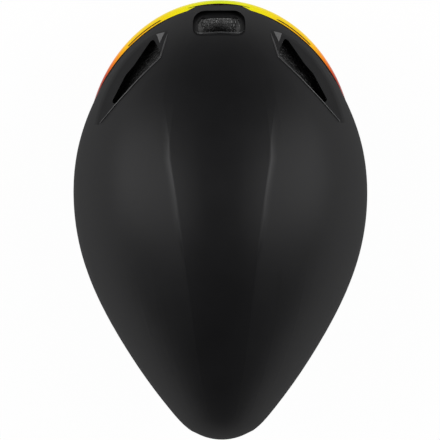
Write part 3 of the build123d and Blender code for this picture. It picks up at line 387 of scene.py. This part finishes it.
def mirrored_lens():
    """The lens: a mirror coating outside, painted dark shade along its edges, round its slots and by the brow
    tab, and a smoke-grey inner face.
    """
    colour_half_width = 100 * mm
    foot_height = 14 * mm
    top_height = 108 * mm
    gap_shade_black = (0.012, 0.004, 0.003, 1)
    inner_grey = (0.030, 0.020, 0.014, 1)
    coated_metallic = 0.92
    coated_roughness = 0.2
    gap_shade_roughness = 0.95
    wave_size = 60 * mm
    wave_height = 0.3 * mm
    wave_strength = 0.3
    material, tree, shader, place = new_material("mirrored_lens")
    parts = split(tree, place)
    normal = split(tree, tree.nodes["Texture Coordinate"].outputs["Normal"])
    side = maths(tree, "ABSOLUTE", parts["X"])
    across = rescaled(tree, side, 0.0, colour_half_width)
    height = rescaled(tree, parts["Z"], foot_height, top_height)
    # Painted shade: dark, unmirrored bands stand for the shade in the gaps along the top edge, round the
    # slots and under the brow tab
    gap_shade = painted_gap_shade_share(tree, side, parts, normal["Z"])
    inner = inner_face_share(tree, parts, normal)
    colour = mixed(tree, gap_shade, coating_colour(tree, across, height), gap_shade_black)
    tree.links.new(mixed(tree, inner, colour, inner_grey), shader.inputs["Base Color"])
    metallic = ramp(tree, maths(tree, "MAXIMUM", gap_shade, inner), [(0.0, (coated_metallic,)), (1.0, (0.0,))])
    tree.links.new(metallic, shader.inputs["Metallic"])
    roughness = ramp(tree, gap_shade, [(0.0, (coated_roughness,)), (1.0, (gap_shade_roughness,))])
    tree.links.new(roughness, shader.inputs["Roughness"])
    shader.inputs["Specular IOR Level"].default_value = 0.1
    rim_tint = ramp(tree, across, [
        (0.0, (0.90, 0.88, 0.01)), (0.68, (0.95, 0.72, 0.01)), (0.79, (0.90, 0.34, 0.01)),
        (0.88, (0.50, 0.05, 0.01)),
    ])
    tree.links.new(rim_tint, shader.inputs["Specular Tint"])
    bump(tree, shader, noise(tree, place, wave_size, 1.0), wave_height, wave_strength)
    return material


# Fabric

def knit(name, colour):
    """Brushed knit over foam: small loops, a nap and a soft sheen."""
    loop_pitch = 0.55 * mm
    loop_randomness = 0.35
    loop_height = 0.2 * mm
    cloud_size = 7 * mm
    tone_spread = 0.3
    nap_size = 0.25 * mm
    nap_height = 0.08 * mm
    material, tree, shader, place = new_material(name)
    loops = add(tree, "ShaderNodeTexVoronoi", Vector=place, Scale=1 / loop_pitch, Randomness=loop_randomness)
    cloud = noise(tree, place, cloud_size, 4.0)
    darker, lighter = [[c * (1 + change) for c in colour] for change in (-tone_spread, tone_spread)]
    tree.links.new(ramp(tree, cloud, [(0.25, darker), (0.75, lighter)]), shader.inputs["Base Color"])
    shader.inputs["Roughness"].default_value = 0.9
    shader.inputs["Sheen Weight"].default_value = 0.35
    shader.inputs["Sheen Roughness"].default_value = 0.4
    first = bump(tree, shader, loops.outputs["Distance"], loop_height)
    bump(tree, shader, noise(tree, place, nap_size, 3.0), nap_height, below=first)
    return material


def webbing():
    """Woven polyester webbing: a herringbone of warp threads, read from the strap's own lengths."""
    warp_pitch = 0.9 * mm
    weft_pitch = 1.3 * mm
    lean = 1.6
    weave_height = 0.25 * mm
    material, tree, shader, _ = new_material("webbing")
    own = tree.nodes.new("ShaderNodeUVMap")
    own.uv_map = "strap"
    parts = split(tree, own.outputs["UV"])

    def wave(value, pitch, shift):
        turn = maths(tree, "MULTIPLY", value, 2 * math.pi / pitch)
        return maths(tree, "SINE", maths(tree, "ADD", turn, shift))

    threads = wave(parts["X"], warp_pitch, 0.0)
    picks = wave(parts["Y"], weft_pitch, maths(tree, "MULTIPLY", threads, lean))
    weave = rescaled(tree, maths(tree, "ADD", threads, picks), -2.0, 2.0)
    tree.links.new(ramp(tree, weave, [(0.2, (0.006,)), (0.8, (0.03,))]), shader.inputs["Base Color"])
    shader.inputs["Roughness"].default_value = 0.7
    shader.inputs["Sheen Weight"].default_value = 0.15
    bump(tree, shader, weave, weave_height)
    return material


# Metal

def metal(name, colour, roughness):
    """Plated or brushed metal with a slight cloudiness."""
    cloud_size = 4 * mm
    dim_share = 0.85
    grain_size = 0.2 * mm
    grain_height = 0.01 * mm
    material, tree, shader, place = new_material(name)
    cloud = noise(tree, place, cloud_size, 3.0)
    tone = ramp(tree, cloud, [(0.3, [c * dim_share for c in colour]), (0.7, colour)])
    tree.links.new(tone, shader.inputs["Base Color"])
    shader.inputs["Metallic"].default_value = 1.0
    shader.inputs["Roughness"].default_value = roughness
    bump(tree, shader, noise(tree, place, grain_size), grain_height)
    return material


# Materials of the nodes

shell_paint = moulded(
    "shell_paint", (0.0050, 0.0050, 0.0055), roughness=0.45, grain=0.3 * mm, depth=0.008 * mm,
    specular=0.14, ridges=True,
)
# The lips of the scoops and the front vent: lighter than the shell, a painted highlight along these rounded
# edges
lip_highlight_paint = moulded("lip_highlight_paint", (0.03, 0.03, 0.031), roughness=0.3, grain=0.3 * mm, depth=0.005 * mm)
# A pale grey for the sheet on each scoop's tip: a painted highlight
tip_highlight_paint = moulded(
    "tip_highlight_paint", (0.075, 0.075, 0.076), roughness=0.45, grain=0.3 * mm, depth=0.01 * mm, specular=0.3
)
rim_plastic = moulded("rim_plastic", (0.007, 0.007, 0.0075), roughness=0.55, specular=0.18)
satin_plastic = moulded(
    "satin_plastic", (0.009, 0.009, 0.010), roughness=0.32, grain=0.4 * mm, depth=0.01 * mm
)
nylon = moulded("nylon", (0.014, 0.014, 0.015), roughness=0.48, grain=0.5 * mm, depth=0.03 * mm)
soft_touch = moulded("soft_touch", (0.011, 0.011, 0.011), roughness=0.72, grain=0.25 * mm, depth=0.03 * mm)
foam = beaded_foam()
lens = mirrored_lens()
pad_fabric = knit("pad_fabric", (0.018, 0.018, 0.020))
strap_fabric = webbing()
nickel = metal("nickel", (0.62, 0.60, 0.56), roughness=0.25)
dark_steel = metal("dark_steel", (0.16, 0.16, 0.17), roughness=0.35)

node_materials = {
    "outer_shell": shell_paint,
    "lower_shell": rim_plastic,
    "foam_liner": foam,
    "exhaust_surround": satin_plastic,
    "shell_magnets": nickel,
    "visor_lens": lens,
    "visor_magnet_cups": satin_plastic,
    "visor_magnets": nickel,
    "temple_pins": nylon,
    "headband_left": nylon,
    "headband_right": nylon,
    "adjuster_housing": nylon,
    "adjuster_cover": satin_plastic,
    "occipital_cradle": nylon,
    "fit_belt_left": nylon,
    "fit_belt_right": nylon,
    "dial_knob": soft_touch,
    "dial_pinion": nylon,
    "dial_screw": dark_steel,
    "strap_anchors": nylon,
    "strap_divider_left": satin_plastic,
    "strap_divider_right": satin_plastic,
    "buckle_socket": satin_plastic,
    "socket_magnet": nickel,
    "buckle_tongue": satin_plastic,
    "tongue_magnet": nickel,
    "pull_tab": soft_touch,
}
for name, material in node_materials.items():
    mesh = nodes[name].data
    mesh.materials.clear()
    mesh.materials.append(material)


# Meshes

def bridge(work, one, two):
    """The faces between two rings of points with the same count, in order."""
    faces = []
    for index in range(len(one)):
        after = (index + 1) % len(one)
        faces.append(work.faces.new((one[index], one[after], two[after], two[index])))
    return faces


def tube_mesh(work, rings):
    """A closed tube through rings of points with the same count."""
    made = [[work.verts.new(point) for point in ring] for ring in rings]
    for one, two in zip(made, made[1:]):
        bridge(work, one, two)
    work.faces.new(made[0])
    work.faces.new(made[-1])


def finished_mesh(name, work):
    """The mesh of what has been built, with its faces turned outwards."""
    bmesh.ops.recalc_face_normals(work, faces=work.faces)
    mesh = bpy.data.meshes.new(name)
    work.to_mesh(mesh)
    work.free()
    return mesh


def new_piece(name, mesh, material, body, slot, *replaced):
    """A finished piece in the scene, riding on a body and standing for some nodes."""
    piece = bpy.data.objects.new(name, mesh)
    bpy.context.scene.collection.objects.link(piece)
    mesh.materials.append(material)
    mesh.shade_smooth()
    if body:
        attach(piece, body)
    if replaced:
        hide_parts(*replaced)
    return piece


# Pads

def ring_points(half_a, half_b, radius):
    """A rounded rectangle as a run of points. Every ring has the same count."""
    corner_steps = 6
    side_steps = 14
    radius = max(min(radius, half_a, half_b), 0.0)
    points = []
    quarter = math.pi / 2
    corners = ((1, 1), (-1, 1), (-1, -1), (1, -1))
    for index, (sign_a, sign_b) in enumerate(corners):
        centre = Vector((sign_a * (half_a - radius), sign_b * (half_b - radius)))
        for step in range(corner_steps + 1):
            angle = quarter * (index + step / corner_steps)
            points.append(centre + radius * Vector((math.cos(angle), math.sin(angle))))
        following = corners[(index + 1) % len(corners)]
        target = Vector((following[0] * (half_a - radius), following[1] * (half_b - radius)))
        start = points[-1]
        end = target + radius * Vector((math.cos(angle), math.sin(angle)))
        points += [start.lerp(end, step / side_steps) for step in range(1, side_steps)]
    return points


def dome_rise(depth, axis, *pairs):
    """How far the cavity's dome, drawn in by depth, reaches along an axis beside places on its other two."""
    room = 1 - sum((place / (cavity_axes[other] - depth)) ** 2 for place, other in pairs)
    return (cavity_axes[axis] - depth) * math.sqrt(max(room, 0))


def brow_surface(a, b, depth):
    """The front wall of the cavity's dome, drawn in by depth, at the place (a, b) in front view."""
    return cavity_centre + Vector((a, -dome_rise(depth, 1, (a, 0), (b, 2)), b))


def crown_surface(a, b, depth):
    """The roof of the dome, at the place (a, b) in plan."""
    return cavity_centre + Vector((a, b, dome_rise(depth, 2, (a, 0), (b, 1))))


def side_surface(a, b, depth):
    """The left wall of the dome, at the place (a, b) in side view."""
    return cavity_centre + Vector((dome_rise(depth, 0, (a, 1), (b, 2)), a, b))


def cradle_surface(a, b, depth):
    """The inner face of the cradle, at the place (a, b) in rear view along the dial's axis."""
    radius = cradle_inner_radius - depth
    behind = belt_setback + math.sqrt(radius**2 - a**2)
    return ring_origin + ring_rear * behind + ring_up * b + Vector((a, 0, 0))


def mirrored(surface):
    """The same surface on the rider's other side."""
    def other(a, b, depth):
        point = surface(a, b, depth)
        return Vector((-point.x, point.y, point.z))
    return other


def pad_mesh(name, surfaces, centre, halves, radius, gap, thickness, channels=()):
    """Pads moulded to surfaces, with a soft edge, a welt round the rim and channels as (axis, offset)."""
    first_insets = lengths(0.0, 0.12, 0.4, 0.8, 1.2, 1.7, 2.1, 2.6, 3.4, 4.4, 5.6, 7.2, 9.0)
    least_step = 0.2 * mm
    seam_room = 0.05 * mm
    rim_share = 0.34
    rim_reach = 2.2 * mm
    stitch_inset = 2.1 * mm
    stitch_width = 0.4 * mm
    stitch_share = 0.2
    groove_width = 1.3 * mm
    groove_fade = 2 * mm
    groove_share = 0.38
    wrinkle_share = 0.018
    wrinkle_a, wrinkle_b, wrinkle_slant = lengths(4.3, 3.1, 9)
    least_share = 0.15
    tuck_height = 0.8 * mm
    tuck_reach = 0.5 * mm
    weld_distance = 0.03 * mm
    deepest = min(halves) - seam_room
    insets = [inset for inset in first_insets if inset < deepest - least_step] + [deepest]

    def share_at(a, b, inset):
        """The share of its full thickness that the pad has at a place."""
        crown = 1 - (1 - rim_share) * math.exp(-((inset / rim_reach) ** 1.5))
        stitch = stitch_share * math.exp(-(((inset - stitch_inset) / stitch_width) ** 2))
        from_channels = [((a, b)[axis] - offset) / groove_width for axis, offset in channels]
        groove = groove_share * sum(math.exp(-(offset**2)) for offset in from_channels)
        groove *= 1 - math.exp(-inset / groove_fade)
        wrinkle = wrinkle_share * math.sin(a / wrinkle_a) * math.cos(b / wrinkle_b + a / wrinkle_slant)
        return min(max(crown - stitch - groove + wrinkle, least_share), 1.0)

    work = bmesh.new()
    for surface in surfaces:
        fronts = []
        backs = []
        for inset in insets:
            tuck = tuck_height * math.exp(-inset / tuck_reach)
            outline = ring_points(halves[0] - inset, halves[1] - inset, radius - inset)
            depths = [gap + thickness * share_at(a, b, inset) for a, b in outline]
            places = [(centre[0] + a, centre[1] + b) for a, b in outline]
            fronts.append([work.verts.new(surface(*place, depth)) for place, depth in zip(places, depths)])
            backs.append([work.verts.new(surface(*place, gap + tuck)) for place in places])
        for rings in (fronts, backs):
            for outer, inner in zip(rings, rings[1:]):
                bridge(work, outer, inner)
            work.faces.new(rings[-1])
        bridge(work, backs[0], fronts[0])
    bmesh.ops.remove_doubles(work, verts=work.verts, dist=weld_distance)
    return finished_mesh(name, work)


def add_pads():
    """The comfort pads, each standing for its own solid."""
    corner_radius = 6 * mm
    cradle_corner_radius = 4.5 * mm
    cradle_pad_thickness = 3.2 * mm
    crown_gap = 0.39 * mm
    side_gap = 0.48 * mm
    brow_centre, brow_halves = lengths(0, 17), lengths(67.24, 10.2)
    crown_centre, crown_halves = lengths(23.37, 2.06), lengths(9.84, 61.8)
    side_centre, side_halves = lengths(28.84, 19.04), lengths(22.66, 12.24)
    cradle_centre, cradle_halves = lengths(25.5, -19.4), lengths(9, 8.5)
    brow_channels = [(0, offset) for offset in lengths(-44, -22, 0, 22, 44)]
    crown_channels = [(1, offset) for offset in lengths(-38, -19, 0, 19, 38)]
    side_channels = [(0, 0.0)]
    brow = pad_mesh(
        "brow_pad_soft", [brow_surface], brow_centre, brow_halves,
        corner_radius, bond_gap, pad_thickness, brow_channels,
    )
    crown = pad_mesh(
        "crown_pads_soft", [crown_surface, mirrored(crown_surface)], crown_centre, crown_halves,
        corner_radius, crown_gap, pad_thickness, crown_channels,
    )
    pieces = [
        new_piece("brow_pad_soft", brow, pad_fabric, "helmet", "pad", "brow_pad"),
        new_piece("crown_pads_soft", crown, pad_fabric, "helmet", "pad", "crown_pads"),
    ]
    for side, surface in (("left", side_surface), ("right", mirrored(side_surface))):
        name = f"side_pad_{side}"
        mesh = pad_mesh(
            f"{name}_soft", [surface], side_centre, side_halves,
            corner_radius, side_gap, pad_thickness, side_channels,
        )
        pieces.append(new_piece(f"{name}_soft", mesh, pad_fabric, "helmet", "pad", name))
    cradle = pad_mesh(
        "cradle_pads_soft", [cradle_surface, mirrored(cradle_surface)], cradle_centre, cradle_halves,
        cradle_corner_radius, bond_gap, cradle_pad_thickness,
    )
    pieces.append(new_piece("cradle_pads_soft", cradle, pad_fabric, "fit_ring", "pad", "cradle_pads"))


# Webbing

def web_mesh(name, frames):
    """A flat strap through frames of (centre, direction across, direction of its face), with soft edges."""
    steps = 10
    half = web_width / 2
    deep = web_thickness / 2
    edge = 0.35 * mm
    edge_share = 0.45
    profile = [(-half + edge + 2 * (half - edge) * step / steps, deep) for step in range(steps + 1)]
    profile += [(half, deep * edge_share), (half, -deep * edge_share)]
    profile += [(-x, -deep) for x, _ in profile[: steps + 1]]
    profile += [(-half, -deep * edge_share), (-half, deep * edge_share)]
    work = bmesh.new()
    layer = work.loops.layers.uv.new("strap")
    rings = []
    runs = [0.0]
    for index, (centre, across, face) in enumerate(frames):
        if index:
            runs.append(runs[-1] + (centre - frames[index - 1][0]).length)
        rings.append([work.verts.new(centre + across * x + face * z) for x, z in profile])
    for one, two, start, end in zip(rings, rings[1:], runs, runs[1:]):
        for corner, made in enumerate(bridge(work, one, two)):
            before, after = profile[corner][0], profile[(corner + 1) % len(profile)][0]
            places = ((before, start), (after, start), (after, end), (before, end))
            for loop, place in zip(made.loops, places):
                loop[layer].uv = place
    for ring in (rings[0], rings[-1]):
        work.faces.new(ring)
    return finished_mesh(name, work)


def on_side(frames, mirror):
    """The frames as they are, or mirrored to the rider's right."""
    flip = Vector((-1, 1, 1))
    return [tuple(vector * flip for vector in item) for item in frames] if mirror else frames


def side_web_frames(angle, height, sign, mirror):
    """The frames of a side strap, which turns from the cavity wall to face the ear."""
    steps = 48
    anchor_drop = 1 * mm
    anchor_standoff = 1.7 * mm
    wide, long = cavity_axes.x, cavity_axes.y
    point = Vector((wide * math.cos(angle), cavity_centre.y + long * math.sin(angle), height))
    wall = Vector((math.cos(angle) / wide, math.sin(angle) / long, 0)).normalized()
    start = point - Vector((0, 0, anchor_drop)) - wall * anchor_standoff
    end = Vector((divider_half_spacing + sign * web_lane, -sign * divider_width / 8, web_end_height))
    run = (end - start).normalized()
    first = wall.cross(run).normalized()
    last = Vector((1, 0, 0)).cross(run).normalized()
    frames = []
    for step in range(steps + 1):
        share = step / steps
        across = first.lerp(last, share).normalized()
        frames.append((start.lerp(end, share), across, run.cross(across)))
    return on_side(frames, mirror)


def chin_frames(mirror):
    """The frames of a chin strap along its route, with rounded bends."""
    bend_steps = 8
    spacing = 1.5 * mm
    points = [Vector((x, 0, z)) for x, z in chin_route]
    path = [points[0]]
    for before, corner, after in zip(points, points[1:], points[2:]):
        into = (corner - before).normalized()
        out = (after - corner).normalized()
        cut = chin_bend_radius * math.tan(into.angle(out) / 2)
        start = corner - into * cut
        end = corner + out * cut
        for step in range(bend_steps + 1):
            share = step / bend_steps
            path.append(start.lerp(corner, share).lerp(corner.lerp(end, share), share))
    path.append(points[-1])
    dense = [path[0]]
    for start, end in zip(path, path[1:]):
        count = max(1, round((end - start).length / spacing))
        dense += [start.lerp(end, step / count) for step in range(1, count + 1)]
    across = Vector((0, 1, 0))
    frames = []
    for index, point in enumerate(dense):
        ahead = dense[min(index + 1, len(dense) - 1)] - dense[max(index - 1, 0)]
        frames.append((point, across, ahead.normalized().cross(across)))
    return on_side(frames, mirror)


def add_webbing():
    """The harness straps, each standing for its own solid."""
    for side, turned in (("left", False), ("right", True)):
        for kind, angle, height, sign in (
            ("front", front_anchor_angle, front_anchor_height, 1),
            ("rear", rear_anchor_angle, rear_anchor_height, -1),
        ):
            name = f"{kind}_strap_{side}"
            mesh = web_mesh(f"{name}_web", side_web_frames(angle, height, sign, turned))
            new_piece(f"{name}_web", mesh, strap_fabric, "helmet", "web", name)
        name = f"chin_strap_{side}"
        mesh = web_mesh(f"{name}_web", chin_frames(turned))
        if side == "left":
            new_piece(f"{name}_web", mesh, strap_fabric, "helmet", "web", name)
        else:
            piece = new_piece(f"{name}_web", mesh, strap_fabric, None, "web", name)
            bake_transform(piece)


# Ribs on the lens

def height_on(line, y):
    """The height of a line of (y, height) places at a y, with its first or last run carried on."""
    for (y0, z0), (y1, z1) in zip(line, line[1:]):
        if y <= y1 or (y1, z1) == line[-1]:
            return z0 + (z1 - z0) * (y - y0) / (y1 - y0)


def visor_axes(height):
    """The half axes of the lens's outer face in plan at a height."""
    drop = visor_upper_radius - math.sqrt(visor_upper_radius**2 - (height - visor_bulge_height) ** 2)
    return visor_half_width - drop, visor_reach - drop


def add_grip_ribs():
    """Fine upright ribs on the strip of lens between each slot and the top edge."""
    pitch = 0.95 * mm
    half = 0.24 * mm
    lift = 0.2 * mm
    sink = 0.1 * mm
    margin = 0.45 * mm
    levels = 7
    (first_y, first_z), (last_y, _) = lens_slot_line
    work = bmesh.new()
    for side in (1, -1):
        _, long = visor_axes(first_z)
        angle = math.asin((visor_centre_y - first_y) / long)
        y = first_y
        while y < last_y:
            middle = (height_on(lens_slot_line, y) + height_on(lens_edge_line, y)) / 2
            wide, long = visor_axes(middle)
            y = visor_centre_y - long * math.sin(angle)
            low = height_on(lens_slot_line, y) + lens_slot_height / 2 + margin
            high = height_on(lens_edge_line, y) - margin
            along = Vector((-wide * math.sin(angle), -long * math.cos(angle), 0))
            out = Vector((math.cos(angle) / wide, -math.sin(angle) / long, 0)).normalized()
            rings = []
            for level in range(levels):
                height = low + (high - low) * level / (levels - 1)
                a, b = visor_axes(height)
                centre = Vector((a * math.cos(angle), visor_centre_y - b * math.sin(angle), height))
                top = lift if 0 < level < levels - 1 else 0
                profile = ((-half, -sink), (-half / 2, top), (half / 2, top), (half, -sink))
                ring = [centre + along.normalized() * step + out * rise for step, rise in profile]
                rings.append([Vector((side * point.x, point.y, point.z)) for point in ring])
            tube_mesh(work, rings)
            angle -= pitch / along.length
    new_piece("visor_grip_ribs", finished_mesh("visor_grip_ribs", work), lens, "visor", "lens")


# Trim on the shell

def shell_height(x, y):
    """The height of the top of the outer shell at a place in plan."""
    above = 0.5
    _, place, _, _ = nodes["outer_shell"].ray_cast(Vector((x, y, above)), Vector((0, 0, -1)))
    return place.z


def lip_ring(centre, across, radius, height_share=1.0):
    """A ring of points round a place on a lip, upright, and flattened to a share of its height."""
    count = 10
    up = Vector((0, 0, height_share))
    turns = [2 * math.pi * step / count for step in range(count)]
    return [centre + radius * (math.cos(turn) * across + math.sin(turn) * up) for turn in turns]


def add_scoop_lips():
    """The rolled edge of the shell along the lip of each side scoop, thinner towards the tail, in a lighter
    colour that is a painted highlight.
    """
    step = 1.2 * mm
    front_radius = 0.6 * mm
    rear_radius = 0.3 * mm
    tip_share = 0.2
    tip_rings = 6
    seat_inset = 0.7 * mm
    sunk_share = 0.7
    inwards_share = 0.2
    corners = [Vector((x * half_width, (y - 0.5) * overall_length)) for x, y in scoop_lip_shares]
    for name, side in (("left", 1), ("right", -1)):
        places = []
        for one, two in zip(corners, corners[1:]):
            run = (two - one).normalized()
            count = round((two - one).length / step)
            places += [(one.lerp(two, index / count), Vector((-run.y, run.x))) for index in range(count)]
        rings = []
        for index, (spot, inwards) in enumerate(places):
            share = index / (len(places) - 1)
            growth = min(tip_share + index / tip_rings, 1.0)
            radius = (front_radius + (rear_radius - front_radius) * share) * growth
            inside = spot + inwards * seat_inset
            seat = shell_height(side * inside.x, inside.y)
            across = inwards.to_3d()
            centre = Vector((spot.x, spot.y, seat - sunk_share * radius)) + inwards_share * radius * across
            ring = lip_ring(centre, across, radius)
            rings.append([Vector((side * point.x, point.y, point.z)) for point in ring])
        work = bmesh.new()
        tube_mesh(work, rings)
        mesh = finished_mesh(f"scoop_lip_{name}", work)
        new_piece(f"scoop_lip_{name}", mesh, lip_highlight_paint, "helmet", "shell")


def add_scoop_tips():
    """A pale sheet laid over the floor at the front tip of each scoop: a painted highlight where the small
    facet there catches the light.
    """
    front = Vector(lengths(39.6, -136.6))
    outer = Vector(lengths(45.8, -135.2))
    rear = Vector(lengths(43.4, -128.4))
    steps = 12
    proud = 0.12 * mm
    sunk = 0.25 * mm
    for name, side in (("left", 1), ("right", -1)):
        work = bmesh.new()
        sheets = []
        for lift in (proud, -sunk):
            rows = []
            for row in range(steps + 1):
                start = front.lerp(rear, row / steps)
                end = outer.lerp(rear, row / steps)
                count = steps - row
                places = [start.lerp(end, step / max(count, 1)) for step in range(count + 1)]
                rows.append([
                    work.verts.new((side * spot.x, spot.y, shell_height(side * spot.x, spot.y) + lift))
                    for spot in places
                ])
            for one, two in zip(rows, rows[1:]):
                for index in range(len(two)):
                    work.faces.new((one[index], one[index + 1], two[index]))
                    if index + 1 < len(two):
                        work.faces.new((one[index + 1], two[index + 1], two[index]))
            sheets.append(rows)
        top, base = [
            rows[0] + [row[-1] for row in rows[1:]] + [row[0] for row in rows[-2:0:-1]] for rows in sheets
        ]
        bridge(work, top, base)
        mesh = finished_mesh(f"scoop_tip_{name}", work)
        new_piece(f"scoop_tip_{name}", mesh, tip_highlight_paint, "helmet", "shell")


def vent_lip_path():
    """The line of the front vent's rear lip from side to side, with the lip's size in place of a height."""
    end_lead, corner_lead, bend_lead, middle_lead = lengths(2.4, 0.9, 0.3, 0.9)
    width_shares = (1.22, 1.08, 0.93, 0.46, 0.0)
    leads = (end_lead, corner_lead, 0, bend_lead, middle_lead)
    sizes = (0.1, 0.6, 1.0, 1.0, 0.9)
    one_side = [
        (share * front_opening_half_width, front_opening_rear - lead, size)
        for share, lead, size in zip(width_shares, leads, sizes)
    ]
    run = one_side + [(-x, y, size) for x, y, size in one_side[-2::-1]]
    guide = bpy.data.curves.new("vent_lip_guide", "CURVE")
    guide.dimensions = "3D"
    spline = guide.splines.new("NURBS")
    spline.points.add(len(run) - 1)
    for point, place in zip(spline.points, run):
        point.co = (*place, 1)
    spline.order_u = 3
    spline.use_endpoint_u = True
    spline.resolution_u = 8
    holder = bpy.data.objects.new("vent_lip_guide", guide)
    line = bpy.data.meshes.new_from_object(holder)
    path = [vertex.co.copy() for vertex in line.vertices]
    bpy.data.objects.remove(holder)
    bpy.data.meshes.remove(line)
    return path


def add_vent_lip():
    """The raised lip along the front vent's rear edge, which dips in the middle and dies out at the sides.
    Its lighter colour is a painted highlight.
    """
    widest = 0.55 * mm
    height_share = 0.8
    seat_setback = 1.2 * mm
    path = vent_lip_path()
    rings = []
    for index, (x, y, size) in enumerate(path):
        ahead = path[min(index + 1, len(path) - 1)] - path[max(index - 1, 0)]
        across = Vector((-ahead.y, ahead.x, 0)).normalized()
        centre = Vector((x, y, shell_height(x, y + seat_setback)))
        rings.append(lip_ring(centre, across, widest * size, height_share))
    work = bmesh.new()
    tube_mesh(work, rings)
    new_piece("vent_lip", finished_mesh("vent_lip", work), lip_highlight_paint, "helmet", "shell")


def add_vent_foam():
    """The hollow in the foam behind the front vent: a half bowl with a wall, open at its foot."""
    steps = 40
    levels = 14
    side_overlap = 0.8 * mm
    front_overlap = 1.6 * mm
    rear_gap = 0.2 * mm
    rim_drop = 1.2 * mm
    depth = 15 * mm
    wall = 0.6 * mm
    seat_spread = 1.15
    seat_advance = 1.0 * mm
    side_power, front_power, fall_power = 0.8, 0.7, 1.5
    foot_share = 0.4
    foot_advance_share = 0.1
    weld_distance = 0.05 * mm
    half = front_opening_half_width + side_overlap
    rear = front_opening_rear - rear_gap
    reach = rear - front_opening_front + front_overlap
    middle = Vector((0, rear - foot_advance_share * reach))
    work = bmesh.new()
    rings = []
    for level in range(levels + 1):
        share = level / levels
        fall = depth * math.sin(share * math.pi / 2) ** fall_power
        ring = []
        for step in range(steps + 1):
            angle = math.pi * step / steps
            x = half * math.copysign(abs(math.cos(angle)) ** side_power, math.cos(angle))
            y = rear - reach * math.sin(angle) ** front_power
            seat = shell_height(seat_spread * x, y - seat_advance if 0 < step < steps else y)
            spot = Vector((x, y)).lerp(middle, foot_share * share)
            ring.append(work.verts.new((spot.x, spot.y, seat - shell_floor_drop - rim_drop - fall)))
        rings.append(ring)
    for one, two in zip(rings, rings[1:]):
        for index in range(steps):
            work.faces.new((one[index], one[index + 1], two[index + 1], two[index]))
    bmesh.ops.remove_doubles(work, verts=work.verts, dist=weld_distance)
    bmesh.ops.recalc_face_normals(work, faces=work.faces)
    bmesh.ops.solidify(work, geom=work.faces[:], thickness=wall)
    new_piece("vent_foam", finished_mesh("vent_foam", work), foam, "helmet", "foam")


# Camera, light and floor

def add_camera():
    """A camera that looks straight down."""
    data = bpy.data.cameras.new("camera")
    data.sensor_width = sensor_width
    data.lens = sensor_width * camera_distance / view_width
    camera = bpy.data.objects.new("camera", data)
    bpy.context.scene.collection.objects.link(camera)
    up = Matrix.Rotation(camera_roll, 3, "Z") @ Vector((0, -1, 0))
    back = Vector((0, 0, 1))
    right = up.cross(back)
    turn = Matrix((right, up, back)).transposed()
    camera.matrix_world = Matrix.Translation(camera_target + back * camera_distance) @ turn.to_4x4()
    bpy.context.scene.camera = camera


def add_softboxes():
    """A large soft light at each side, aimed at the middle of the helmet."""
    for name, side in (("left_softbox", 1), ("right_softbox", -1)):
        data = bpy.data.lights.new(name, "AREA")
        data.shape = "RECTANGLE"
        data.size, data.size_y = softbox_size
        data.energy = softbox_power
        lamp = bpy.data.objects.new(name, data)
        bpy.context.scene.collection.objects.link(lamp)
        lamp.location = (side * softbox_place[0], *softbox_place[1:])
        lamp.rotation_euler = (light_target - lamp.location).to_track_quat("-Z", "Y").to_euler()


def add_floor():
    """A pale floor with the helmet's shadow, white for the camera, in mirrors and through glass."""
    mesh = bpy.data.meshes.new("floor")
    half = floor_half_width
    corners = [(x, y, -floor_drop) for x, y in ((-half, -half), (half, -half), (half, half), (-half, half))]
    mesh.from_pydata(corners, [], [(0, 1, 2, 3)])
    floor = bpy.data.objects.new("floor", mesh)
    bpy.context.scene.collection.objects.link(floor)
    material, tree, shader, _ = new_material("floor")
    shader.inputs["Base Color"].default_value = (0.85, 0.85, 0.85, 1)
    shader.inputs["Roughness"].default_value = 0.9
    glow = add(tree, "ShaderNodeEmission", Color=(1, 1, 1, 1), Strength=1.0)
    rays = tree.nodes.new("ShaderNodeLightPath").outputs
    seen = maths(tree, "MAXIMUM", rays["Is Camera Ray"], rays["Is Glossy Ray"])
    seen = maths(tree, "MAXIMUM", seen, rays["Is Transmission Ray"])
    blend = add(tree, "ShaderNodeMixShader", Fac=maths(tree, "MULTIPLY", seen, floor_white_share))
    tree.links.new(shader.outputs[0], blend.inputs[1])
    tree.links.new(glow.outputs[0], blend.inputs[2])
    tree.links.new(blend.outputs[0], tree.nodes["Material Output"].inputs["Surface"])
    mesh.materials.append(material)


def add_world():
    """White for the camera. The helmet sees a dim sky that brightens towards the horizon and the sides."""
    world = bpy.data.worlds.new("world")
    bpy.context.scene.world = world
    world.use_nodes = True
    tree = world.node_tree
    shader = tree.nodes["Background"]
    parts = split(tree, tree.nodes.new("ShaderNodeTexCoord").outputs["Generated"])
    sky = ramp(tree, parts["Z"], [(0.0, (0.75,)), (0.25, (0.42,)), (0.6, (0.12,)), (1.0, (0.06,))])
    sides = ramp(tree, maths(tree, "ABSOLUTE", parts["X"]), [(0.0, (0.45,)), (0.7, (1.0,)), (1.0, (1.0,))])
    seen = tree.nodes.new("ShaderNodeLightPath").outputs["Is Camera Ray"]
    colour = mixed(tree, seen, maths(tree, "MULTIPLY", sky, sides), (1, 1, 1, 1))
    tree.links.new(colour, shader.inputs["Color"])
    shader.inputs["Strength"].default_value = 1.0


add_pads()
add_webbing()
add_grip_ribs()
add_scoop_lips()
add_scoop_tips()
add_vent_lip()
add_vent_foam()
add_camera()
add_softboxes()
add_floor()
add_world()
bpy.context.scene.view_settings.view_transform = "Standard"
